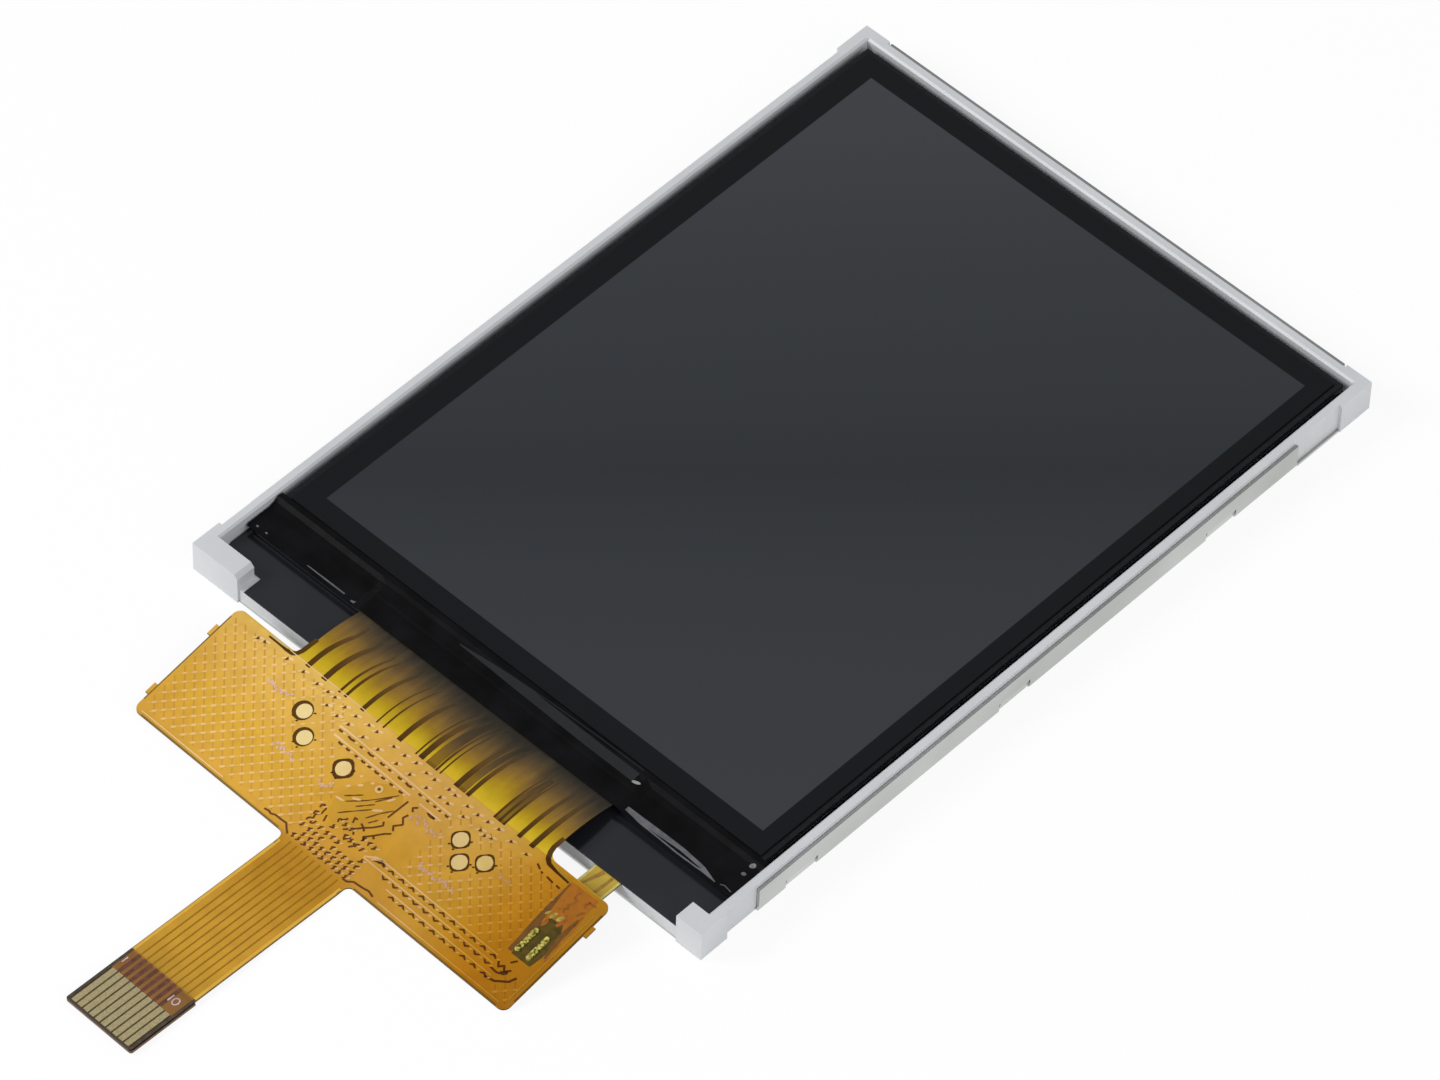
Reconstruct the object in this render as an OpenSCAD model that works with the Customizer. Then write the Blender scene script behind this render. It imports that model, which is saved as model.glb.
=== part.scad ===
// Colour TFT display module, 2.4 inch diagonal, with a ten-way flexible tail.
// Millimetres. +Z points to the viewer, +Y away from the flex, and the origin is the
// centre of the module's back face. The flex leaves at -Y and lies down on the plane z = 0.

/* [Picture and borders] */
// Width of the picture
active_w = 36.72; // [32:0.02:44]
// Length of the picture
active_l = 48.96; // [42:0.02:60]
// Distance from the picture to each side of the module
side_border = 3; // [2.9:0.01:4]
// Distance from the picture to the far end of the module
far_border = 2.83; // [2.75:0.01:4]
// Distance from the picture to the flex end of the module
flex_border = 8.47; // [8.2:0.01:10]
// Height of the frame's rim above the front polarizer
rim_step = 0.1; // [0.05:0.01:0.3]
// Running clearance between nested pieces
fit_gap = 0.04; // [0.03:0.01:0.06]

/* [Steel tray] */
// Sheet thickness of the tray
tray_t = 0.2; // [0.15:0.01:0.25]
// Inside radius of the tray's folds
tray_bend_r = 0.1; // [0.05:0.01:0.15]
// Height of the two long walls
side_wall_h = 2.06; // [1.6:0.02:2.2]
// Height of the far wall
far_wall_h = 2.38; // [1.6:0.02:2.4]
// Distance from the flex end to the start of the long walls
side_wall_front = 5.02; // [4:0.02:6]
// Distance from the far end to the end of the long walls
side_wall_back = 6.83; // [5:0.01:8]
// Distance from each side to the ends of the far wall
far_wall_inset = 2.2; // [2.1:0.01:3]
// Number of pressed-in catches on each long wall
catch_count = 3; // [2:1:4]
// Middle of the first catch, from the start of the wall
catch_front = 3.7; // [2:0.1:6]
// Middle of the last catch, from the end of the wall
catch_back = 7.1; // [2:0.1:9]
// Length of a catch
catch_w = 2.5; // [1.5:0.1:4]
// Height of a catch
catch_h = 0.85; // [0.6:0.01:1.1]
// How far a catch is pressed in at its free edge
catch_press = 0.2; // [0.1:0.01:0.22]
// Width of the slits at the ends of a catch
catch_slit = 0.14; // [0.1:0.01:0.25]

/* [Moulded frame] */
// Thickness of the wall round the cell
frame_wall = 0.59; // [0.45:0.01:0.75]
// Width of the shelf that carries the cell
shelf_w = 1.08; // [0.9:0.01:1.3]
// Setback of the bar at the flex end
bar_setback = 0.13; // [0.05:0.01:0.3]
// Depth of the bar that houses the light sources
bar_l = 3.1; // [2.6:0.01:3.3]
// Length of the full-width corners at the flex end
front_corner_l = 2.28; // [1.8:0.01:3]
// Length of the full-width corners at the far end
far_corner_l = 2.8; // [2:0.01:4]
// Depth of the two corner blocks at the flex end
block_l = 1.45; // [1.2:0.01:2]
// Width of the left corner block
block_left_w = 3.86; // [3:0.01:6]
// Width of the right corner block
block_right_w = 2.06; // [1.8:0.01:4]
// Bevel on the rim's inner edge and on the blocks
rim_bevel = 0.14; // [0.05:0.01:0.2]

/* [Backlight] */
// Thickness of the white reflector
reflector_t = 0.07; // [0.05:0.005:0.1]
// Thickness of the light guide
guide_t = 0.7; // [0.6:0.01:0.8]
// Thickness of the diffuser
diffuser_t = 0.05; // [0.04:0.005:0.1]
// Thickness of each prism sheet
prism_t = 0.08; // [0.06:0.005:0.13]
// Free height between the top sheet and the tape
stack_gap = 0.02; // [0.01:0.005:0.05]
// Clearance between the sheets and the frame's window
film_gap = 0.12; // [0.05:0.01:0.2]
// Distance from the edge of the light guide to the sheets on it
film_setback = 1; // [0.9:0.05:1.5]
// Length of the ears that locate the sheets
ear_l = 3; // [2:0.1:5]
// How far the ears stand out
ear_out = 0.6; // [0.3:0.05:0.8]
// Distance from the flex end to the middle of the ears
ear_y = 12; // [9:0.5:20]
// Thickness of the black double-sided tape
rim_tape_t = 0.06; // [0.05:0.005:0.1]
// Border of the tape's window round the picture
tape_border = 0.5; // [0.3:0.05:0.6]
// Corner radius of the tape
tape_corner_r = 0.9; // [0.5:0.05:1.2]

/* [Light sources] */
// Number of white LEDs
led_count = 4; // [4:1:4]
// Distance from the side of the window to the outer LEDs
led_margin = 3.75; // [2.5:0.05:5]
// Length of an LED
led_l = 3.8; // [3:0.1:4]
// Depth of an LED
led_d = 1; // [0.8:0.05:1.1]
// Height of an LED
led_h = 0.8; // [0.6:0.01:0.8]
// Thickness of the LED flex
led_flex_t = 0.1; // [0.08:0.01:0.12]
// Length of the LED flex past the outer LEDs
led_flex_end = 1.2; // [0.5:0.1:1.6]
// Overlap of the LED flex on the light guide
led_flex_overlap = 0.8; // [0.4:0.05:0.9]
// Distance from the frame's outer face to the LED flex
led_flex_setback = 0.5; // [0.4:0.05:0.8]
// Width of the tab that joins the LED flex to the main flex
tab_w = 2.1; // [1.6:0.05:2.6]
// Angle of the tab in plan
tab_skew = 4.4; // [0:0.1:5]

/* [Display cell] */
// Gap between the cell and the frame's wall
cell_gap = 0.43; // [0.3:0.01:0.5]
// Thickness of a polarizer
polarizer_t = 0.14; // [0.1:0.01:0.18]
// Distance from the glass edge to the polarizer edge
polarizer_inset = 0.4; // [0.3:0.01:0.6]
// Thickness of the glass that carries the transistors
tft_t = 0.4; // [0.3:0.01:0.5]
// Thickness of the colour filter glass
filter_t = 0.38; // [0.3:0.01:0.5]
// Thickness of the seal between the glasses
seal_t = 0.02; // [0.01:0.005:0.03]
// Width of the seal
seal_w = 0.9; // [0.6:0.05:1.2]
// Setback of the glass from the outer face of the bar
glass_setback = 3.7; // [3.4:0.05:4]
// Length of the bare glass ledge
ledge_l = 2.6; // [2.5:0.05:3]
// Length of the driver chip
chip_l = 16.5; // [14:0.1:19]
// Width of the driver chip
chip_w = 0.85; // [0.7:0.05:1]
// Thickness of the driver chip
chip_t = 0.28; // [0.2:0.01:0.35]
// Distance from the colour filter glass to the chip
chip_gap = 0.3; // [0.25:0.05:0.4]
// Thickness of the black tape over the ledge
cover_t = 0.06; // [0.04:0.01:0.1]

/* [Main flex] */
// Thickness of the flex
flex_t = 0.1; // [0.08:0.01:0.14]
// Thickness of the conductive film under the bond
bond_t = 0.02; // [0.01:0.005:0.03]
// Length of the bond on the glass
bond_l = 1.25; // [0.9:0.05:1.3]
// Width of the neck
neck_w = 21.2; // [18:0.1:21.4]
// Width of the wide part
wide_w = 31.85; // [31:0.05:34]
// Distance from the module to the rear edge of the wide part
wide_gap = 1.72; // [1.5:0.02:3]
// Length of the wide part in plan
wide_l = 8.95; // [8:0.05:10]
// Corner radius of the wide part
wide_corner_r = 0.55; // [0.3:0.05:1]
// Radius where the neck meets the wide part
neck_fillet_r = 0.75; // [0.4:0.05:0.9]
// Radius where the tail meets the wide part
tail_fillet_r = 0.45; // [0.3:0.05:1]
// Length of the tail, from the wide part to its end
tail_l = 17.7; // [14:0.05:24]
// Turn of the flex in plan past the glass
flex_yaw = -1.1; // [-2:0.1:2]
// Angle at which the flex rises off the glass
rise_deg = 14; // [10:0.5:16]
// Angle at which the wide part slopes down
fall_deg = 12.7; // [11:0.1:14]
// Width of the nubs that held the flex in its panel
nub_w = 0.8; // [0.4:0.05:1.2]

/* [Tail contacts] */
// Number of contacts
contact_count = 10; // [4:1:12]
// Distance between contacts
contact_pitch = 0.5; // [0.4:0.1:0.5]
// Width of a contact
contact_w = 0.385; // [0.2:0.005:0.4]
// Length of the bare contacts
contact_l = 3.35; // [2:0.05:4.5]
// Distance from the contacts to the end of the tail
contact_end_gap = 0.15; // [0.1:0.01:0.4]
// Film beyond the outer contacts on each side
tail_margin = 0.31; // [0.25:0.01:0.6]
// Thickness of the plating above the film
plating_t = 0.02; // [0.01:0.005:0.03]
// Width of the stiffener past the film on each side
stiffener_side = 0.06; // [0:0.01:0.15]
// Length of the stiffened end
stiffener_l = 5.2; // [4.8:0.05:7]
// Thickness of the stiffener
stiffener_t = 0.2; // [0.15:0.01:0.22]

/* [Test pads and solder] */
// Radius of a test pad
pad_r = 0.5; // [0.3:0.05:0.6]
// Distance from the side of the wide part to the middle of the solder joints
solder_side = 1.9; // [1.4:0.05:2.2]
// Distance from the rear edge of the wide part to the middle of the solder joints
solder_rear = 4.75; // [3.5:0.05:6]
// Length of the tab past the solder joints
tab_past = 0.6; // [0.2:0.05:1]
// Distance between the two solder joints
solder_pitch = 0.92; // [0.8:0.02:1.1]
// Width of a solder joint
solder_w = 0.42; // [0.3:0.02:0.5]
// Length of a solder joint
solder_l = 2; // [1.5:0.1:2.4]
// Height of the solder above the flex
solder_h = 0.1; // [0.05:0.01:0.15]

/* [Hidden] */
tail_x = 0.1;
eps = 0.01;
$fn = 32;

// Heights of the stack, from the tray up
z_tray = tray_t;
z_reflector = z_tray + reflector_t;
z_guide = z_reflector + guide_t;
z_diffuser = z_guide + diffuser_t;
z_prism_lower = z_diffuser + prism_t;
z_prism_upper = z_prism_lower + prism_t;
z_seat = z_prism_upper + stack_gap;
z_rim_tape = z_seat + rim_tape_t;
z_rear_polarizer = z_rim_tape + polarizer_t;
z_tft = z_rear_polarizer + tft_t;
z_filter = z_tft + seal_t + filter_t;
z_front_polarizer = z_filter + polarizer_t;
z_rim = z_front_polarizer + rim_step;

// Half widths and ends, from the outline inwards
module_w = active_w + 2 * side_border;
module_l = active_l + far_border + flex_border;
out_x = module_w / 2;
out_y = module_l / 2;
frame_x = out_x - tray_t - fit_gap;
frame_y = out_y - tray_t - fit_gap;
cavity_x = frame_x - frame_wall;
cavity_y = frame_y - frame_wall;
window_x = cavity_x - shelf_w;
window_y = cavity_y - shelf_w;
bar_y = -(out_y - bar_setback);
window_front = bar_y + bar_l;
film_x = window_x - film_gap;
film_y = window_y - film_gap;
guide_front = window_front + fit_gap;
film_front = guide_front + film_setback;
glass_x = cavity_x - cell_gap;
glass_y = cavity_y - cell_gap;
tft_front = bar_y + glass_setback;
filter_front = tft_front + ledge_l;
polarizer_x = glass_x - polarizer_inset;
polarizer_y = glass_y - polarizer_inset;
polarizer_front = filter_front + polarizer_inset;
active_y1 = out_y - far_border;
active_y0 = active_y1 - active_l;
led_end_x = window_x - led_margin;
led_pitch = (2 * led_end_x - led_l) / (led_count - 1);
led_xs = [for (i = [0 : led_count - 1]) (i - (led_count - 1) / 2) * led_pitch];

// ---- Sheet-metal helpers -------------------------------------------------------------

// A box between two corners
module box(a, b) {
    translate(a) cube(b - a);
}

// A rectangle between two corners
module rect(x0, y0, x1, y1) {
    translate([x0, y0]) square([x1 - x0, y1 - y0]);
}

// A rectangle with round corners, made of true arcs
module round_rect(x0, y0, x1, y1, r) {
    rect(x0 + r, y0, x1 - r, y1);
    rect(x0, y0 + r, x1, y1 - r);
    for (x = [x0 + r, x1 - r], y = [y0 + r, y1 - r]) translate([x, y]) circle(r);
}

// What fills an inner corner at the origin with an arc, in the quadrant (sx, sy)
module fillet(r, sx, sy) {
    scale_x = sx < 0 ? 1 : 0;
    scale_y = sy < 0 ? 1 : 0;
    mirror([scale_x, 0]) mirror([0, scale_y]) difference() {
        translate([-eps, -eps]) square(r + eps);
        translate([r, r]) circle(r);
    }
}

// Section of a folded wall: outer face on x = 0, back of the sheet on y = 0
module fold_section(h) {
    r = tray_t + tray_bend_r;
    translate([-tray_t, r]) square([tray_t, h - r]);
    translate([-r, r]) intersection() {
        difference() {
            circle(r);
            circle(tray_bend_r);
        }
        translate([0, -r]) square(r);
    }
}

// A folded wall along +Y, from y0 to y1, with its outer face on x = 0
module fold_wall(y0, y1, h) {
    translate([0, y1, 0]) rotate([90, 0, 0]) linear_extrude(y1 - y0) fold_section(h);
}

// ---- Steel tray ----------------------------------------------------------------------

wall_y0 = -out_y + side_wall_front;
wall_y1 = out_y - side_wall_back;
far_x = out_x - far_wall_inset;
fold_r = tray_t + tray_bend_r;
tray_edge = 0.06;
catch_pitch = (wall_y1 - catch_back - wall_y0 - catch_front) / (catch_count - 1);
catch_ys = [for (i = [0 : catch_count - 1]) wall_y0 + catch_front + i * catch_pitch];
catch_half = catch_w / 2 + catch_slit;

// Flat outline of the tray's floor, with corners cleared for the frame
module tray_floor() {
    difference() {
        rect(-out_x + tray_edge, bar_y, out_x - tray_edge, out_y - tray_edge);
        for (s = [-1, 1]) {
            // beside the folds and in front of them the floor stops where the bend starts
            rect(s > 0 ? out_x - fold_r : -out_x, -out_y,
                 s > 0 ? out_x : -out_x + fold_r, wall_y1 + catch_slit);
            // the frame's full corners reach down past the floor
            rect(s > 0 ? far_x + catch_slit : -out_x, out_y - far_corner_l - fit_gap,
                 s > 0 ? out_x : -far_x - catch_slit, out_y);
        }
        rect(-out_x, -out_y, -out_x + block_left_w + fit_gap, -out_y + front_corner_l + fit_gap);
        rect(out_x - block_right_w - fit_gap, -out_y, out_x, -out_y + front_corner_l + fit_gap);
        rect(-far_x - catch_slit, out_y - fold_r, far_x + catch_slit, out_y);
        // relief under each catch
        for (y = catch_ys, s = [-1, 1])
            rect(s > 0 ? out_x - 2.6 * tray_t : -out_x, y - catch_half,
                 s > 0 ? out_x : -out_x + 2.6 * tray_t, y + catch_half);
    }
}

// A catch: the foot of the wall, cut free at its ends and pressed inwards
module catch_lug() {
    foot = fit_gap;
    rotate([90, 0, 0]) linear_extrude(catch_w, center = true)
        polygon([[0, catch_h], [-catch_press, foot], [-catch_press - tray_t, foot],
                 [-tray_t, catch_h]]);
}

// One long wall with its catches
module side_wall() {
    translate([out_x, 0, 0]) {
        difference() {
            fold_wall(wall_y0, wall_y1, side_wall_h);
            for (y = catch_ys)
                box([-2 * fold_r, y - catch_half, -eps], [eps, y + catch_half, catch_h]);
        }
        for (y = catch_ys) translate([0, y, 0]) catch_lug();
    }
}

module back_tray() {
    color("#b4b6b2") {
        linear_extrude(tray_t) tray_floor();
        side_wall();
        mirror([1, 0, 0]) side_wall();
        translate([0, out_y, 0]) rotate([0, 0, 90]) fold_wall(-far_x, far_x, far_wall_h);
    }
}

// ---- Moulded frame -------------------------------------------------------------------

led_pocket_gap = 0.1;
solder_x = tail_x + wide_w / 2 - solder_side;
solder_y = -out_y - wide_gap - solder_rear;
led_flex_x = led_end_x + led_flex_end;
led_flex_y0 = bar_y + led_flex_setback;
led_flex_y1 = guide_front + led_flex_overlap;
z_led_flex = z_seat - led_flex_t;
z_led = z_led_flex - led_h;
tab_slot = 0.15;
tab_exit_y = bar_y - 0.15;
tab_x = solder_x + (solder_y - tab_exit_y) * tan(tab_skew);

// A triangular strip along +Y that bevels an edge at the origin
module bevel_strip(l, b) {
    rotate([90, 0, 0]) linear_extrude(l, center = true)
        polygon([[-b, b * 0.2], [-b, 0], [0, -b], [b * 0.2, -b], [b * 0.2, b * 0.2]]);
}

// Outer body: thin where the tray's walls wrap it, full at the corners
module frame_body() {
    box([-frame_x, bar_y, z_tray], [frame_x, frame_y, z_rim]);
    for (s = [-1, 1]) {
        w = s < 0 ? block_left_w : block_right_w;
        x0 = s < 0 ? -out_x : out_x - w;
        // the block, on a foot that fills the tray's cut corner
        box([x0, -out_y, 0], [x0 + w, -out_y + block_l, z_rim]);
        box([x0, -out_y, 0], [x0 + w, -out_y + front_corner_l, z_tray + eps]);
        // the full-width stretch of the side wall next to it
        side_x0 = s < 0 ? -out_x : cavity_x;
        box([side_x0, -out_y, 0],
            [side_x0 + out_x - cavity_x, -out_y + front_corner_l, z_rim]);
        // the far corner, an angle that closes the tray's open corner
        far_x0 = s < 0 ? -out_x : frame_x - eps;
        box([far_x0, out_y - far_corner_l, 0],
            [far_x0 + out_x - frame_x + eps, out_y, z_rim]);
        cap_x0 = s < 0 ? -out_x : far_x + catch_slit + fit_gap;
        cap_w = out_x - far_x - catch_slit - fit_gap;
        box([cap_x0, frame_y - eps, 0], [cap_x0 + cap_w, out_y, z_rim]);
        box([cap_x0, out_y - far_corner_l, 0], [cap_x0 + cap_w, frame_y, z_tray + eps]);
    }
}

// Room for the cell: walls on three sides, open to the flex between the blocks
module cell_cavity() {
    box([-cavity_x, -out_y + block_l, z_seat], [cavity_x, cavity_y, z_rim + 1]);
    box([-out_x + block_left_w, -out_y - 1, z_seat],
        [out_x - block_right_w, -out_y + block_l + eps, z_rim + 1]);
    // bevel on the inner edge of the rim
    mid_y = (cavity_y - out_y + block_l) / 2;
    l = cavity_y + out_y - block_l;
    for (s = [0, 1]) mirror([s, 0, 0])
        translate([-cavity_x, mid_y, z_rim]) bevel_strip(l, rim_bevel);
    translate([0, cavity_y, z_rim]) rotate([0, 0, -90]) bevel_strip(2 * cavity_x, rim_bevel);
}

// Window for the light guide and the sheets, with notches for their ears
module film_window() {
    box([-window_x, window_front, -eps], [window_x, window_y, z_seat + eps]);
    y = -out_y + ear_y;
    box([-window_x - ear_out, y - ear_l / 2 - film_gap, -eps],
        [window_x + ear_out, y + ear_l / 2 + film_gap, z_seat + eps]);
}

// Pockets for the LEDs, the recess for their flex and the way out of its tab
module led_housing() {
    for (x = led_xs)
        box([x - led_l / 2 - led_pocket_gap, window_front - led_d - led_pocket_gap, -eps],
            [x + led_l / 2 + led_pocket_gap, window_front + eps, z_seat + eps]);
    box([-led_flex_x - led_pocket_gap, led_flex_y0 - led_pocket_gap, z_led_flex],
        [led_flex_x + led_pocket_gap, window_front + eps, z_seat + eps]);
    box([tab_x - tab_w / 2 - tab_slot, -out_y - 1, z_led_flex],
        [tab_x + tab_w / 2 + tab_slot, led_flex_y0 + eps, z_seat + eps]);
}

// Pockets in the sides that the tray's catches press into, and relief for its folds
module catch_pockets() {
    depth = 2 * tray_t + catch_press;
    for (s = [0, 1]) mirror([s, 0, 0]) {
        for (y = catch_ys)
            box([out_x - depth, y - catch_half - fit_gap, -eps],
                [out_x, y + catch_half + fit_gap, catch_h + fit_gap]);
        translate([frame_x, (wall_y0 + wall_y1) / 2, z_tray]) mirror([0, 0, 1])
            bevel_strip(wall_y1 - wall_y0 + 2 * catch_slit, rim_bevel);
    }
    translate([0, frame_y, z_tray]) mirror([0, 0, 1]) rotate([0, 0, 90])
        bevel_strip(2 * far_x + 2 * catch_slit, rim_bevel);
}

module frame() {
    color("#d6d8da") difference() {
        frame_body();
        cell_cavity();
        film_window();
        led_housing();
        catch_pockets();
        // bevel on the inner top edge of the left block
        translate([-out_x + block_left_w, -out_y + block_l / 2, z_rim])
            bevel_strip(block_l + 1, rim_bevel * 2);
    }
}

// ---- Backlight -----------------------------------------------------------------------

// A sheet in the frame's window, with an ear on each side
module sheet(z0, z1, y0, ear) {
    translate([0, 0, z0]) linear_extrude(z1 - z0) {
        rect(-film_x, y0, film_x, film_y);
        rect(-film_x - ear_out, -out_y + ear_y - ear / 2,
             film_x + ear_out, -out_y + ear_y + ear / 2);
    }
}

module reflector_sheet() {
    color("#f2f4f4") sheet(z_tray, z_reflector, guide_front, ear_l);
}

module light_guide() {
    color("#e4ecee") sheet(z_reflector, z_guide, guide_front, ear_l);
}

module diffuser_sheet() {
    color("#eef0f0") sheet(z_guide, z_diffuser, film_front, ear_l * 0.8);
}

module prism_sheet_lower() {
    color("#dfe3e6") sheet(z_diffuser, z_prism_lower, film_front, ear_l * 0.7);
}

module prism_sheet_upper() {
    color("#d5dade") sheet(z_prism_lower, z_prism_upper, film_front, ear_l * 0.6);
}

// A side-firing LED, with a dished window towards the light guide
module led(i) {
    window_l = led_l * 0.8;
    window_h = led_h * 0.6;
    dish = led_d * 0.15;
    color("#f3efdc") translate([led_xs[i], window_front - led_d, z_led]) difference() {
        box([-led_l / 2, 0, 0], [led_l / 2, led_d, led_h]);
        translate([0, led_d, led_h / 2])
            box([-window_l / 2, -dish, -window_h / 2], [window_l / 2, eps, window_h / 2]);
    }
}

module led_1() { led(0); }
module led_2() { led(1); }
module led_3() { led(2); }
module led_4() { led(3); }

// Black tape: a ring under the cell and a broad strip over the LED flex
module rim_tape() {
    edge = fit_gap * 1.5;
    r = tape_corner_r;
    y_step = -out_y + block_l + 0.15;
    left = -out_x + block_left_w + 0.42;
    right = out_x - block_right_w - 0.14;
    color("#1c1d1f") translate([0, 0, z_seat]) linear_extrude(rim_tape_t) difference() {
        union() {
            round_rect(-cavity_x + edge, y_step, cavity_x - edge, cavity_y - edge, r);
            rect(left, bar_y, right, y_step + r);
        }
        rect(-active_w / 2 - tape_border, active_y0 - tape_border,
             active_w / 2 + tape_border, active_y1 + tape_border);
    }
}

// ---- Display cell --------------------------------------------------------------------

module plate(x, y0, y1, z0, z1) {
    box([-x, y0, z0], [x, y1, z1]);
}

module rear_polarizer() {
    color("#2a2b2e")
        plate(polarizer_x, polarizer_front, polarizer_y, z_rim_tape, z_rear_polarizer);
}

module tft_glass() {
    color("#3a4446") plate(glass_x, tft_front, glass_y, z_rear_polarizer, z_tft);
}

// Sealant ring that joins the two glasses
module cell_seal() {
    color("#8d9092") difference() {
        plate(glass_x, filter_front, glass_y, z_tft, z_tft + seal_t);
        plate(glass_x - seal_w, filter_front + seal_w, glass_y - seal_w,
              z_tft - 1, z_tft + 1);
    }
}

module color_filter_glass() {
    color("#26282b") plate(glass_x, filter_front, glass_y, z_tft + seal_t, z_filter);
}

module front_polarizer() {
    color("#3b3d40")
        plate(polarizer_x, polarizer_front, polarizer_y, z_filter, z_front_polarizer);
}

chip_y1 = filter_front - chip_gap;
chip_y0 = chip_y1 - chip_w;

module driver_chip() {
    color("#55585c") box([-chip_l / 2, chip_y0, z_tft], [chip_l / 2, chip_y1, z_tft + chip_t]);
}

// ---- Bent sheets ---------------------------------------------------------------------
// A bent sheet follows a path of stations [run, height, heading], where run counts
// towards -Y. A layer of it is the ribbon between two offsets from the path.

// Stations along an arc that turns the heading from a0 to a1
function arc_stations(p, a1, r, n) =
    let (a0 = p[2], s = sign(a1 - a0))
    [for (i = [1 : n]) let (a = a0 + (a1 - a0) * i / n)
        [p[0] + s * r * (sin(a) - sin(a0)), p[1] + s * r * (cos(a0) - cos(a)), a]];

// The station at the end of a straight stretch
function straight(p, l) = [p[0] + l * cos(p[2]), p[1] + l * sin(p[2]), p[2]];

function last(v) = v[len(v) - 1];

// A point of the ribbon, d above the path
function offset_point(p, d) = [p[0] - d * sin(p[2]), p[1] + d * cos(p[2])];

// The ribbon of a path between offsets d0 and d1, w wide about x
module ribbon(path, y0, d0, d1, x, w) {
    top = [for (p = path) let (q = offset_point(p, d1)) [y0 - q[0], q[1]]];
    low = [for (i = [len(path) - 1 : -1 : 0])
           let (q = offset_point(path[i], d0)) [y0 - q[0], q[1]]];
    translate([x - w / 2, 0, 0]) rotate([90, 0, 90]) linear_extrude(w)
        polygon(concat(top, low));
}

lift_r = 1.5;
crest_r = 13;
tail_corner_r = 0.2;
landing_r = 5;
floor_gap = 0.005;

// Main stations of the flex in plan
wide_rear = out_y + wide_gap;
wide_front = -wide_rear - wide_l;
tail_end = -wide_front + tail_l;
tail_w = (contact_count - 1) * contact_pitch + contact_w + 2 * tail_margin;
bond_y = tft_front + bond_l;

// Path of the main flex: flat on the glass, over a crest, down to the table, along it
bond_start = [0, z_tft + bond_t + flex_t / 2, 0];
glass_end = straight(bond_start, bond_l);
lift = arc_stations(glass_end, rise_deg, lift_r, 4);
crest = arc_stations(last(lift), -fall_deg, crest_r, 12);
slope_start = last(crest);
landing_drop = landing_r * (1 - cos(fall_deg));
slope_l = (slope_start[1] - landing_drop - flex_t / 2 - floor_gap) / sin(fall_deg);
slope_end = straight(slope_start, slope_l);
// the tail rises from where the flex touches the table to the edge of its stiffener
touch_run = slope_end[0] + landing_r * sin(fall_deg);
stiffener_run = bond_y + tail_end - stiffener_l - touch_run - 3 * fit_gap;
tail_deg = atan((stiffener_t + floor_gap) / stiffener_run);
landing = arc_stations(slope_end, tail_deg, landing_r, 8);
table_l = (bond_y + tail_end + tail_w - last(landing)[0]) / cos(tail_deg);
flex_path = concat([bond_start, glass_end], lift, crest, [slope_end], landing,
                   [straight(last(landing), table_l)]);

module flex_layer(d0, d1) {
    ribbon(flex_path, bond_y, d0, d1, 0, 2 * wide_w);
}

// Turns the outer part of the flex in plan about the point where it leaves the module
pivot = [0, -wide_rear + 0.35];

module yawed() {
    translate(pivot) rotate(flex_yaw) translate(-pivot) children();
}

function yaw_point(p) =
    let (d = p - pivot)
    pivot + [d[0] * cos(flex_yaw) - d[1] * sin(flex_yaw),
             d[0] * sin(flex_yaw) + d[1] * cos(flex_yaw)];

contact_xs = [for (i = [0 : contact_count - 1])
              tail_x + (i - (contact_count - 1) / 2) * contact_pitch];
nub_places = [[-1, 0.235], [-1, 0.81], [1, 0.225]];
nub_out = 0.25;

module tail_outline(y0, side = 0) {
    h = tail_w / 2 + side;
    round_rect(tail_x - h, -tail_end, tail_x + h, y0, tail_corner_r);
}

// Wide part and tail, with arcs where the neck and the tail join
module wide_outline() {
    h = wide_w / 2;
    round_rect(tail_x - h, wide_front, tail_x + h, -wide_rear, wide_corner_r);
    tail_outline(wide_front + 1);
    for (s = [-1, 1]) {
        translate([s * neck_w / 2, -wide_rear]) fillet(neck_fillet_r, s, 1);
        translate([tail_x + s * tail_w / 2, wide_front]) fillet(tail_fillet_r, s, -1);
    }
    // nubs left by the panel that the flex was cut from
    for (n = nub_places)
        translate([tail_x + n[0] * h, -wide_rear - n[1] * wide_l])
            rect(-nub_out, -nub_w / 2, nub_out, nub_w / 2);
}

module flex_outline() {
    h = neck_w / 2;
    inside = -wide_rear - 1;
    polygon([[-h, bond_y], [-h, pivot[1]], yaw_point([-h, inside]),
             yaw_point([h, inside]), [h, pivot[1]], [h, bond_y]]);
    yawed() wide_outline();
}

module solder_outline(w, l) {
    yawed() for (s = [-1, 1]) translate([solder_x + s * solder_pitch / 2, solder_y])
        round_rect(-w / 2, -l / 2, w / 2, l / 2, w * 0.4);
}

module main_flex() {
    color("#d39a2e") intersection() {
        flex_layer(-flex_t / 2, flex_t / 2);
        linear_extrude(z_rim * 2) difference() {
            flex_outline();
            solder_outline(solder_w, solder_l);
        }
    }
}

// Conductive film under the flex on the glass
module bond_film() {
    color("#9a8f7a") box([-neck_w / 2, tft_front + fit_gap, z_tft],
                         [neck_w / 2, bond_y, z_tft + bond_t]);
}

module tail_contacts() {
    y0 = -tail_end + contact_end_gap;
    color("#c8b27a") intersection() {
        flex_layer(flex_t / 2, flex_t / 2 + plating_t);
        linear_extrude(z_rim) yawed() for (x = contact_xs)
            rect(x - contact_w / 2, y0, x + contact_w / 2, y0 + contact_l);
    }
}

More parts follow.
